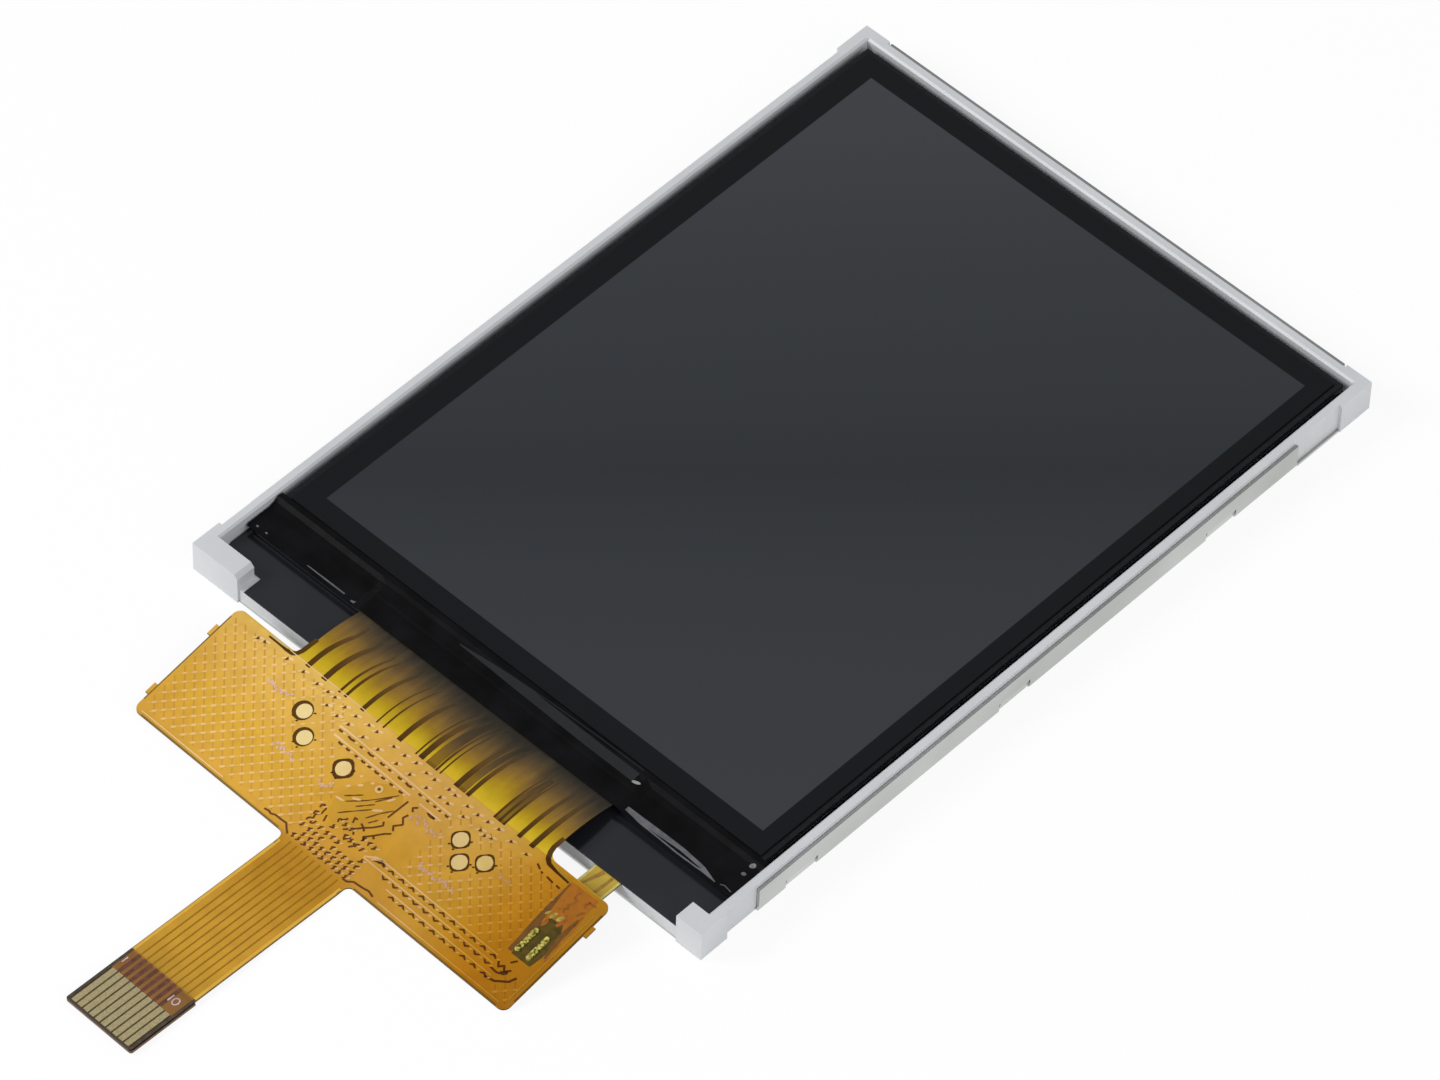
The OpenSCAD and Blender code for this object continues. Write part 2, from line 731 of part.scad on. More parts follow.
module tail_stiffener() {
    color("#5c3a20") intersection() {
        flex_layer(-flex_t / 2 - stiffener_t, -flex_t / 2);
        translate([0, 0, -1]) linear_extrude(z_rim + 1) yawed() intersection() {
            tail_outline(wide_front, stiffener_side);
            rect(-wide_w, -tail_end - 1, wide_w, -tail_end + stiffener_l);
        }
    }
}

// Test pads, as places on the wide part from the middle of its rear edge
pad_places = [[-7.62, -2.48], [-6.32, -3.73], [-2.99, -3.7],
              [5.88, -2.57], [6.9, -3.68], [8.12, -2.76]];

module test_pads() {
    color("#e8cf8a") intersection() {
        flex_layer(flex_t / 2, flex_t / 2 + plating_t);
        linear_extrude(z_rim * 2) yawed() for (p = pad_places)
            translate([p[0], p[1] - wide_rear]) circle(pad_r);
    }
}

// ---- LED flex ------------------------------------------------------------------------

// Path of the tab: out of the frame, up to the main flex and down along its underside
tab_r = 3;
tab_rise = 9;
tab_below = (flex_t + led_flex_t) / 2 + floor_gap;
tab_start = [0, z_led_flex + led_flex_t / 2, 0];
tab_out = straight(tab_start, led_flex_y1 - tab_exit_y);
tab_up = arc_stations(tab_out, tab_rise, tab_r, 4);
// length of the rise for which the tab comes down just under the main flex
under = offset_point(slope_start, -tab_below);
under_run = under[0] - bond_y + led_flex_y1;
over = last(arc_stations(last(tab_up), -fall_deg, tab_r, 8));
rise_l = ((under_run - over[0]) * sin(fall_deg) + (under[1] - over[1]) * cos(fall_deg))
         / sin(fall_deg + tab_rise);
tab_top = straight(last(tab_up), rise_l);
tab_over = arc_stations(tab_top, -fall_deg, tab_r, 8);
tab_reach = -solder_y + solder_l / 2 + tab_past;
tab_end_l = (tab_reach + led_flex_y1 - last(tab_over)[0] + tab_w) / cos(fall_deg);
tab_path = concat([tab_start, tab_out], tab_up, [tab_top], tab_over,
                  [straight(last(tab_over), tab_end_l)]);

module led_flex_outline() {
    rect(-led_flex_x, led_flex_y0, led_flex_x, led_flex_y1);
    rect(tab_x - tab_w / 2, tab_exit_y, tab_x + tab_w / 2, led_flex_y0 + eps);
    translate([tab_x, tab_exit_y]) rotate(tab_skew)
        rect(-tab_w / 2, -tab_reach - tab_exit_y, tab_w / 2, tab_w * 0.04);
}

module led_flex() {
    color("#c9a136") intersection() {
        ribbon(tab_path, led_flex_y1, -led_flex_t / 2, led_flex_t / 2, 0, 3 * led_flex_x);
        linear_extrude(z_rim) led_flex_outline();
    }
}

// Solder that fills the slots of the main flex and stands a little proud
module tab_solder() {
    color("#c8be4a") {
        intersection() {
            flex_layer(-flex_t / 2 - floor_gap, flex_t / 2);
            linear_extrude(z_rim * 2) solder_outline(solder_w, solder_l);
        }
        intersection() {
            flex_layer(flex_t / 2, flex_t / 2 + solder_h);
            linear_extrude(z_rim * 2) solder_outline(solder_w * 0.8, solder_l * 0.92);
        }
    }
}

// ---- Tape over the ledge -------------------------------------------------------------

// Rows of the tape's underside: [y, height over the flex, height beside it]
cover_rest = 0.01;
cover_side = z_tft + cover_rest;
cover_flex = z_tft + bond_t + flex_t + cover_rest;
cover_chip = z_tft + chip_t + cover_rest;
cover_rows = [
    [polarizer_front - fit_gap, z_filter, z_filter],
    [filter_front - fit_gap, z_filter + cover_rest, z_filter + cover_rest],
    [chip_y1, cover_chip, cover_side + chip_t / 2],
    [chip_y1 - chip_w / 2, cover_chip, cover_side],
    [chip_y0 - fit_gap, cover_chip, cover_side],
    [bond_y + fit_gap, cover_flex, cover_side],
    [tft_front + fit_gap, cover_flex, cover_side],
    [tft_front - 0.16, cover_flex + 0.02, cover_side - 0.03]];
cover_ramp = 0.6;
cover_xs = [-cavity_x + 3 * fit_gap, -neck_w / 2 - 0.2 - cover_ramp, -neck_w / 2 - 0.2,
            neck_w / 2 + 0.2, neck_w / 2 + 0.2 + cover_ramp, cavity_x - 3 * fit_gap];

function cover_point(i, row, up) = let (mid = i == 2 || i == 3)
    [cover_xs[i], row[0], (mid ? row[1] : row[2]) + up];

module ledge_cover_tape() {
    n = len(cover_xs);
    m = len(cover_rows);
    size = n * m;
    points = [for (up = [0, cover_t], row = cover_rows, i = [0 : n - 1])
              cover_point(i, row, up)];
    cells = [for (j = [0 : m - 2], i = [0 : n - 2]) j * n + i];
    low = [for (k = cells) each [[k, k + 1, k + n + 1], [k, k + n + 1, k + n]]];
    high = [for (f = low) [f[2] + size, f[1] + size, f[0] + size]];
    rim = concat([for (i = [0 : n - 1]) i],
                 [for (j = [1 : m - 1]) j * n + n - 1],
                 [for (i = [n - 2 : -1 : 0]) (m - 1) * n + i],
                 [for (j = [m - 2 : -1 : 1]) j * n]);
    edge = [for (k = [0 : len(rim) - 1]) let (a = rim[k], b = rim[(k + 1) % len(rim)])
            each [[b, a, a + size], [b, a + size, b + size]]];
    color("#1a1b1d") polyhedron(points, concat(low, high, edge));
}

back_tray();
frame();
reflector_sheet();
light_guide();
diffuser_sheet();
prism_sheet_lower();
prism_sheet_upper();
led_flex();
led_1();
led_2();
led_3();
led_4();
rim_tape();
rear_polarizer();
tft_glass();
cell_seal();
color_filter_glass();
front_polarizer();
driver_chip();
bond_film();
main_flex();
tail_contacts();
tail_stiffener();
test_pads();
tab_solder();
ledge_cover_tape();
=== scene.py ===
# %% [markdown]
# A small colour display module with its flexible tail. The solids come from the packed
# CAD model and are used as they are: this lesson gives them their finishes, and adds what
# is too thin for CAD, such as the copper under the film and the marks on it.

# %% Load the frame
import math

import bpy
import numpy as np
from mathutils import Matrix, Vector
from mathutils.bvhtree import BVHTree


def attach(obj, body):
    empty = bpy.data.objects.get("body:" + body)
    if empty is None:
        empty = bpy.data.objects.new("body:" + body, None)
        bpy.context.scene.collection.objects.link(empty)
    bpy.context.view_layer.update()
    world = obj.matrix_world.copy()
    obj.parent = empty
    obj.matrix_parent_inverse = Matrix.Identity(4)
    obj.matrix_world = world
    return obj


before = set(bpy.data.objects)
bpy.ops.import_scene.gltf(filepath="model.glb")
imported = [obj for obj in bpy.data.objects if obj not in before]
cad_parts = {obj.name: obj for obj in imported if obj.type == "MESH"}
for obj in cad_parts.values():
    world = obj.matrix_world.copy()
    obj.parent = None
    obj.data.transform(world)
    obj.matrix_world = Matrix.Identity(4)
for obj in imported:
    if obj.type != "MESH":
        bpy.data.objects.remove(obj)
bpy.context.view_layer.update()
MM = 0.001
print("pieces of the frame:", len(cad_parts))

# %% [markdown]
# Sizes are easier to read in millimetres, and Blender counts in metres, so every length
# below is written in mm and turned to metres in one place: where points become a mesh.
# Colours are the hex values of a paint card. A renderer counts light, so each channel is
# turned from the card's curve to linear light first.

# %% Colours and nodes
def linear(hex_colour):
    """The linear colour of an sRGB hex value: c / 12.92 below 0.04045, else
    ((c + 0.055) / 1.055) to the power 2.4, for each channel c from 0 to 1."""
    c = np.array([int(hex_colour[i:i + 2], 16) for i in (1, 3, 5)]) / 255
    c = np.where(c <= 0.04045, c / 12.92, ((c + 0.055) / 1.055) ** 2.4)
    return (*c, 1.0)


def join(node, links):
    """Joins outputs of other nodes to this node's inputs, by the inputs' names. A node
    given instead of an output stands for its first one."""
    for name, source in links.items():
        output = source.outputs[0] if isinstance(source, bpy.types.Node) else source
        node.id_data.links.new(output, node.inputs[name])


def add(tree, kind, settings=None, links=None):
    """Adds a node, its kind given without the word ShaderNode. A setting whose name is an
    input's sets that input, "stops" sets a colour ramp's (position, hex) stops, any other
    sets the node's own property; links join outputs of other nodes to its inputs."""
    new = tree.nodes.new("ShaderNode" + kind)
    for name, value in (settings or {}).items():
        if isinstance(name, int) or name in new.inputs:
            new.inputs[name].default_value = value
        elif name == "stops":
            points = new.color_ramp.elements
            while len(points) < len(value):
                points.new(0.5)
            for point, (position, colour) in zip(points, value):
                point.position, point.color = position, linear(colour)
        else:
            setattr(new, name, value)
    join(new, links or {})
    return new


def finish_named(name, shader_settings):
    """A new material with a Principled shader, its tree and its Object coordinates."""
    material = bpy.data.materials.new(name)
    material.use_nodes = True
    tree = material.node_tree
    tree.nodes.clear()
    shader = add(tree, "BsdfPrincipled", shader_settings)
    add(tree, "OutputMaterial", links={"Surface": shader})
    place = add(tree, "TexCoord").outputs["Object"]
    print("finish:", name)
    return material, tree, shader, place


def per_metre(size_mm):
    """A noise texture's scale for features of that size: one over the size in metres."""
    return 1 / (size_mm * MM)


def drift(tree, place, size_mm, detail, stops):
    """A colour that drifts over that size: a noise, read by a ramp of (position, hex)."""
    noise = add(tree, "TexNoise", {"Scale": per_metre(size_mm), "Detail": detail},
                {"Vector": place})
    return add(tree, "ValToRGB", {"stops": stops}, {"Fac": noise})


# %% [markdown]
# The camera stands where a long lens sees the module from its right front corner, with
# the flex towards the lower left. Its three axes are written out as a matrix, which is
# surer than three angles.

# %% Camera
EYE = Vector((246.575, -281.146, 445.369)) * MM
RIGHT = Vector((0.72538, 0.68795, 0.02350))
FORWARD = Vector((-0.42611, 0.47558, -0.76958))
LENS, SENSOR = 236.2, 36.0

camera_data = bpy.data.cameras.new("camera")
camera_data.lens, camera_data.sensor_width = LENS, SENSOR
camera_data.sensor_fit = "HORIZONTAL"
camera_data.clip_start, camera_data.clip_end = 0.05, 20
camera = bpy.data.objects.new("camera", camera_data)
scene = bpy.context.scene
scene.collection.objects.link(camera)
up = RIGHT.cross(FORWARD).normalized()
turn = Matrix((RIGHT.normalized(), up, -FORWARD.normalized())).transposed()
camera.matrix_world = Matrix.Translation(EYE) @ turn.to_4x4()
bpy.context.scene.camera = camera
print("camera height %.0f mm" % (EYE.z / MM))

# %% [markdown]
# The module lies on a white table. Light alone would leave the table grey in places, so
# it is white to the camera by itself, mixed with a plain matt white that takes the
# module's shadow. Glossy surfaces see the same white.

# %% Table
TABLE_HALF, TABLE_DROP, OWN_WHITE = 1.6, 0.01 * MM, 0.86
CORNERS = ((-1, -1), (1, -1), (1, 1), (-1, 1))
table_mesh = bpy.data.meshes.new("table")
table_mesh.from_pydata([(x * TABLE_HALF, y * TABLE_HALF, -TABLE_DROP) for x, y in CORNERS],
                       [], [(0, 1, 2, 3)])
table = bpy.data.objects.new("table", table_mesh)
scene.collection.objects.link(table)

white_table = bpy.data.materials.new("white table")
white_table.use_nodes = True
tree = white_table.node_tree
tree.nodes.clear()
rays = add(tree, "LightPath").outputs
seen = add(tree, "Math", {"operation": "MAXIMUM"},
           {0: rays["Is Camera Ray"], 1: rays["Is Glossy Ray"]})
part = add(tree, "Math", {"operation": "MULTIPLY", 1: OWN_WHITE}, {0: seen})
matt = add(tree, "BsdfDiffuse", {"Color": linear("#F4F4F4")})
glow = add(tree, "Emission", {"Color": (1, 1, 1, 1), "Strength": 1.03})
both = add(tree, "MixShader", links={0: part, 1: matt, 2: glow})
add(tree, "OutputMaterial", links={"Surface": both})
table_mesh.materials.append(white_table)
print("table %.1f m wide" % (2 * TABLE_HALF))

# %% [markdown]
# The module stands in a light tent, which is the world: white from all sides, and a
# little dimmer overhead, so that flat dark surfaces stay dark. The camera sees it as
# plain white.

# %% Light tent
TENT = 0.56
world = bpy.data.worlds.new("light tent")
scene.world = world
world.use_nodes = True
tree = world.node_tree
tree.nodes.clear()
rays = add(tree, "LightPath").outputs
direction = add(tree, "TexCoord").outputs["Generated"]
height = add(tree, "SeparateXYZ", links={0: direction}).outputs["Z"]
tone = add(tree, "ValToRGB", {"stops": [(0.0, "#FFFFFF"), (0.45, "#F4F4F4"),
                                        (0.8, "#C8CACC"), (1.0, "#C0C2C4")]},
           {"Fac": height})
tent = add(tree, "Background", {"Strength": TENT}, {"Color": tone})
plain = add(tree, "Background", {"Color": (1, 1, 1, 1), "Strength": 1})
mix = add(tree, "MixShader",
          links={0: rays["Is Camera Ray"], 1: tent, 2: plain})
add(tree, "OutputWorld", links={"Surface": mix})
print("light tent, strength", TENT)

# %% [markdown]
# Two large soft lamps give the light a direction. The key stands at the left front and
# draws the shadow, and the fill at the right keeps the far sides from going grey.

# %% Lamps
KEY_WATTS, FILL_WATTS = 1.7, 0.5


def soft_lamp(name, place_mm, size_mm, watts):
    """An area lamp that faces the middle of the module."""
    data = bpy.data.lights.new(name, "AREA")
    data.energy, data.size = watts, size_mm * MM
    lamp = bpy.data.objects.new(name, data)
    lamp.location = Vector(place_mm) * MM
    lamp.rotation_euler = (-lamp.location).to_track_quat("-Z", "Y").to_euler()
    scene.collection.objects.link(lamp)
    print("%s lamp, %.1f W" % (name, watts))


soft_lamp("key", (-330, -330, 330), 240, KEY_WATTS)
soft_lamp("fill", (330, -60, 260), 300, FILL_WATTS)
scene.view_settings.view_transform = "Standard"

# %% [markdown]
# The back is one piece of cold-rolled stainless sheet. Rolling leaves very fine lines
# along the sheet, which spread its reflection to a soft grey. The lines here are 0.12 mm
# apart, coarser than the real ones so that they show, drawn by a noise that is stretched
# along the sheet and read by the roughness and a slight bump.

# %% Stainless sheet
ROLL_LINE_MM, ROLL_STRETCH = 0.12, 0.02
rolled_steel, tree, shader, place = finish_named(
    "stainless steel sheet, cold rolled", {"Metallic": 1.0, "Roughness": 0.34})
along = add(tree, "Mapping", {"Scale": (1, ROLL_STRETCH, 1)}, {"Vector": place})
lines = add(tree, "TexNoise", {"Scale": per_metre(ROLL_LINE_MM), "Detail": 3},
            {"Vector": along})
sheet = drift(tree, place, 9, 2, [(0.3, "#B2B4B1"), (0.7, "#C6C8C6")])
rough = add(tree, "MapRange", {"To Min": 0.27, "To Max": 0.43}, {"Value": lines})
bump = add(tree, "Bump", {"Strength": 0.12, "Distance": 0.01 * MM},
           {"Height": lines})
join(shader, {"Base Color": sheet, "Roughness": rough, "Normal": bump})

# %% [markdown]
# The frame is injection-moulded polycarbonate, filled white so that it returns the
# backlight's stray light. It lets a little light in before it scatters it, and it has
# the fine spark-eroded grain of its mould, about 0.15 mm.

# %% Moulded white frame
white_pc, tree, shader, place = finish_named(
    "white polycarbonate, moulded",
    {"Roughness": 0.42, "IOR": 1.58, "Subsurface Weight": 0.12,
     "Subsurface Radius": (0.6 * MM, 0.6 * MM, 0.6 * MM), "Specular IOR Level": 0.4})
grain = add(tree, "TexNoise", {"Scale": per_metre(0.15), "Detail": 2},
            {"Vector": place})
tone = drift(tree, place, 6, 3, [(0.3, "#D3D5D8"), (0.7, "#DDDFE1")])
bump = add(tree, "Bump", {"Strength": 0.25, "Distance": 0.01 * MM},
           {"Height": grain})
join(shader, {"Base Color": tone, "Normal": bump})

# %% [markdown]
# The front polarizer is a stretched plastic film with an anti-glare coat. With the
# display off it is dark all over, but the picture is a shade lighter than its border,
# because there the colour filter sends a little light back, and outside it a black
# print swallows it. The edge between them is worked out from the place on the film.
# A painted reflection of the room also lies across the film: its tone goes slowly lighter
# and darker along a slanting line, which a ramp on y - 0.986 x gives.

# %% Front polarizer
PICTURE_HALF, PICTURE_MIDDLE, EDGE_SOFT = (18.36, 24.48), (0.20, 2.60), 0.06
SLANT, SLANT_FROM, SLANT_TO = -0.986, -40, 45
anti_glare, tree, shader, place = finish_named(
    "polarizer film, anti-glare",
    {"Roughness": 0.22, "IOR": 1.49, "Specular IOR Level": 0.16})
parts = add(tree, "SeparateXYZ", links={0: place}).outputs
inside = []
for axis, half, middle in zip("XY", PICTURE_HALF, PICTURE_MIDDLE):
    off = add(tree, "Math", {"operation": "SUBTRACT", 1: middle * MM},
              {0: parts[axis]})
    away = add(tree, "Math", {"operation": "ABSOLUTE"}, {0: off})
    inside.append(add(tree, "MapRange",
                      {"From Min": (half - EDGE_SOFT) * MM, "From Max": half * MM,
                       "To Min": 1.0, "To Max": 0.0}, {"Value": away}))
picture = add(tree, "Math", {"operation": "MULTIPLY"},
              {0: inside[0], 1: inside[1]})
slant = add(tree, "Math", {"operation": "MULTIPLY_ADD", 1: SLANT},
            {0: parts["X"], 2: parts["Y"]})
slant = add(tree, "MapRange", {"From Min": SLANT_FROM * MM, "From Max": SLANT_TO * MM},
            {"Value": slant})
# painted reflection of the room: the tone goes lighter and darker along the slant
lit = add(tree, "ValToRGB",
          {"stops": [(0.0, "#3E4044"), (0.22, "#3C3E42"), (0.34, "#393C40"),
                     (0.46, "#33363A"), (0.58, "#383B3F"), (0.76, "#3C3F43"),
                     (0.95, "#44464B")]}, {"Fac": slant})
tint = add(tree, "Mix", {"data_type": "RGBA", 6: linear("#17181B")},
           {0: picture, 7: lit}).outputs[2]
coat = add(tree, "TexNoise", {"Scale": per_metre(0.08), "Detail": 1},
           {"Vector": place})
bump = add(tree, "Bump", {"Strength": 0.08, "Distance": 0.005 * MM},
           {"Height": coat})
join(shader, {"Base Color": tint, "Normal": bump})

# %% [markdown]
# Two black polyester tapes show on the ledge at the flex end. The cover tape is shiny
# and a little creased where a finger pressed it down, and the tape under the cell is
# flat, smoother and bluish.

# %% Black tapes
cover_black, tree, shader, place = finish_named(
    "black polyester tape, glossy",
    {"Roughness": 0.3, "IOR": 1.5, "Specular IOR Level": 0.05})
press = add(tree, "TexNoise", {"Scale": per_metre(2.2), "Detail": 3},
            {"Vector": place})
tone = add(tree, "ValToRGB", {"stops": [(0.35, "#0E0E0F"), (0.7, "#171719")]},
           {"Fac": press})
bump = add(tree, "Bump", {"Strength": 0.3, "Distance": 0.1 * MM},
           {"Height": press})
join(shader, {"Base Color": tone, "Normal": bump})

under_black, tree, shader, place = finish_named(
    "black polyester tape, smooth",
    {"Roughness": 0.16, "IOR": 1.6, "Specular IOR Level": 0.42})
tone = drift(tree, place, 5, 2, [(0.3, "#1C1D21"), (0.7, "#232429")])
join(shader, {"Base Color": tone})

# %% [markdown]
# The cell's two plates are thin soda-lime glass. Only a narrow rim of them shows, and
# behind it lie black print and black tape, so that the glass looks black and its cut
# edge is a shade paler, where the scribe wheel left it finely rough.

# %% Glass plates
plate_glass, tree, shader, place = finish_named(
    "soda-lime glass over black print",
    {"Roughness": 0.1, "IOR": 1.52, "Specular IOR Level": 0.3})
tone = drift(tree, place, 0.25, 2, [(0.3, "#0E1012"), (0.7, "#181B1D")])
join(shader, {"Base Color": tone})

# %% [markdown]
# The other parts of the stack show at an edge at most: white, clear and frosted plastic
# films, the light diodes, sealant, the ground back of the chip, and the tail's contacts
# and board. Each gets its roughness and two near colours that drift into each other.

# %% Films, chip and contacts
def film_finish(name, low, high, size_mm, roughness, metallic=0.0):
    """A finish whose colour drifts between two hex values over that size."""
    material, tree, shader, place = finish_named(
        name, {"Roughness": roughness, "Metallic": metallic})
    join(shader, {"Base Color": drift(tree, place, size_mm, 3,
                                      [(0.35, low), (0.65, high)])})
    return material


FILMS = [
    ("reflector_sheet", "white reflector film", "#EEF0F0", "#F6F8F8", 3, 0.25),
    ("light_guide", "acrylic light guide", "#DDE6E8", "#EAF0F2", 1.0, 0.08),
    ("diffuser_sheet", "diffuser film, matt", "#E6E8E8", "#F0F2F2", 0.5, 0.7),
    ("rear_polarizer", "rear polarizer film", "#232427", "#2E3034", 4, 0.25),
    ("cell_seal", "cured sealant", "#84878A", "#94979A", 0.5, 0.5),
    ("driver_chip", "ground silicon", "#4C4F54", "#5E6166", 0.2, 0.35, 0.4),
    ("bond_film", "conductive film", "#8A8270", "#A49C88", 0.15, 0.5),
    ("tail_contacts", "gold-flashed copper", "#BBAA7C", "#D0C094", 0.12, 0.42, 0.5),
    ("tail_stiffener", "polyimide stiffener", "#5A3A20", "#6B4528", 0.4, 0.45)]
finishes = {node: film_finish(*row) for node, *row in FILMS}
prism_film = film_finish("prism film", "#C8CDD2", "#DDE1E4", 0.3, 0.3)
led_housing = film_finish("LED housing, white resin", "#EDE8D2", "#F8F4E4", 0.4, 0.4)

# %% [markdown]
# The layout of a flex is drawn flat and then laid out with it, so all that is printed on
# it is placed in layout coordinates: x across and y along the flex, turned a little, as
# the flex itself lies. Its height comes from the CAD piece, read once along a line.

# %% Layout coordinates
FLEX_TURN = math.radians(-1.1)
TURN_Y = -31.5


def to_part(points):
    """Layout points (n, 2) in mm, turned by the flex's angle about (0, TURN_Y)."""
    x, y = points[:, 0], points[:, 1] - TURN_Y
    c, s = math.cos(FLEX_TURN), math.sin(FLEX_TURN)
    return np.stack([c * x - s * y, s * x + c * y + TURN_Y], 1)


def top_of(node, x_mm, y_from, y_to, turned=True, every=0.05):
    """A function that lays points on a CAD piece. Its top along y is read once, at this
    x, by dropping a ray at every so many mm; z is then interpolated in that table."""
    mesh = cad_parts[node].data
    corners = [v.co[:] for v in mesh.vertices]
    tree = BVHTree.FromPolygons(corners, [p.vertices[:] for p in mesh.polygons])
    ys = np.arange(y_from, y_to, every)
    hits = [tree.ray_cast(Vector((x_mm * MM, y * MM, 0.1)), Vector((0, 0, -1)))[0]
            for y in ys]
    table = np.array([(y, hit.z / MM) for y, hit in zip(ys, hits) if hit is not None]).T
    print("%s: top from z %.2f to %.2f mm" % (node, table[1].min(), table[1].max()))

    def lay(points, lift):
        flat = to_part(points) if turned else np.asarray(points, float)
        return np.column_stack([flat, np.interp(flat[:, 1], *table) + lift])
    return lay


on_flex = top_of("main_flex", 0.4, -58.6, -24.9)
on_tab = top_of("led_flex", 13.7, -33.0, -29.9, turned=False)
on_tape = top_of("ledge_cover_tape", 0.0, -27.0, -22.0, turned=False)
on_tape_side = top_of("ledge_cover_tape", 14.0, -27.0, -22.0, turned=False)

# %% [markdown]
# The flex is copper between two amber polyimide films. Seen through the film the copper
# turns the amber from yellow to orange, and where it rises off the glass it mirrors the
# dark panel and fades to a grey brown. Its colour is therefore a function of the way
# along the flex, and of the way across it: two ramps, with their stops in mm.

# %% Colours of the film
RAMP_FROM, RAMP_TO, SIDE_LIMIT = -60.0, -26.0, 16.5
ALONG = [
    (-60.0, "#544A40"), (-58.40, "#544A40"), (-58.36, "#4A3B26"), (-55.02, "#4A3B26"),
    (-54.98, "#9A6C3C"), (-53.24, "#8E6234"), (-53.20, "#C49536"), (-51.0, "#D6A236"),
    (-47.0, "#D49E34"), (-43.5, "#C68E26"), (-40.9, "#C48C28"), (-40.6, "#E9B248"),
    (-37.5, "#EDB840"), (-34.0, "#F2C05A"), (-31.94, "#F4C766"), (-31.84, "#DFBA2C"),
    (-31.2, "#CCAC20"), (-30.6, "#B8951E"), (-30.0, "#A27F26"), (-29.4, "#92702E"),
    (-28.8, "#806432"), (-28.2, "#6A5230"), (-27.6, "#55462E"), (-27.1, "#443A2B"),
    (-26.5, "#302B24")]
ACROSS = [(-16.2, "#F0ECE6"), (-11, "#FFFFFF"), (-5, "#F8F6F2"), (-2.0, "#EEE6DC"),
          (2.5, "#E2D8D2"), (7, "#E0D8CC"), (9, "#DACDA4"), (11, "#D0B86C"),
          (12.8, "#C6A84C"), (16.2, "#B8A058")]
FADES_LATE = [
    (-16, "#FFFFFF"), (-9.6, "#E8E8E8"), (-7.6, "#A0A0A0"), (-6.0, "#B8B8B8"),
    (-4.4, "#8C8C8C"), (-2.8, "#B0B0B0"), (-0.6, "#606060"), (1.1, "#404040"),
    (2.3, "#808080"), (4.0, "#6A6A6A"), (5.3, "#F0F0F0"), (6.5, "#9A9A9A"),
    (7.8, "#C0C0C0"), (9.9, "#989898"), (16, "#C0C0C0")]


def spread(stops, low, high):
    """Ramp stops whose places are in mm, moved to (mm - low) / (high - low)."""
    return [((mm - low) / (high - low), colour) for mm, colour in stops]


# %% [markdown]
# On the neck each track turns dark at its own place, because the film isn't quite flat
# across it. Moving the ramp along by a small amount that depends on x does that, and a
# noise drawn out along the flex makes the limit ragged.

# %% Ragged limit of the dark
RAGGED_MM, RAGGED_WIDE, RAGGED_STRETCH = 0.35, 0.55, 0.1
FADE_START, FADE_FULL = -31.4, -29.6


def moved_along(tree, vector, side, y, fade_mm):
    """y + (ramp of x + noise) g(y), where g grows from 0 to 1 between two places."""
    late = add(tree, "ValToRGB", {"stops": spread(FADES_LATE, -SIDE_LIMIT, SIDE_LIMIT)},
               {"Fac": side})
    late = add(tree, "MapRange", {"To Min": fade_mm / 2 * MM, "To Max": -fade_mm / 2 * MM},
               {"Value": late})
    thin = add(tree, "Mapping", {"Scale": (1, RAGGED_STRETCH, 0)},
               {"Vector": vector})
    ragged = add(tree, "TexNoise", {"Scale": per_metre(RAGGED_WIDE), "Detail": 2},
                 {"Vector": thin})
    ragged = add(tree, "MapRange", {"From Min": 0.3, "From Max": 0.7,
                                    "To Min": -RAGGED_MM * MM, "To Max": RAGGED_MM * MM},
                 {"Value": ragged})
    both = add(tree, "Math", {"operation": "ADD"}, {0: late, 1: ragged})
    start = add(tree, "MapRange", {"From Min": FADE_START * MM, "From Max": FADE_FULL * MM},
                {"Value": y})
    return add(tree, "Math", {"operation": "MULTIPLY_ADD"},
               {0: both, 1: start, 2: y})


# %% [markdown]
# The finish itself puts these together: the ramp along, times the ramp across on the wide
# part only, times slow clouds, as the adhesive between film and copper is never even. The
# cut faces of the film look to the side, and are olive. The film is smooth, with a faint
# ripple over the copper.

# %% Film finish
WIDE_FRONT, WIDE_REAR = (-40.9, -40.7), (-31.82, -31.92)


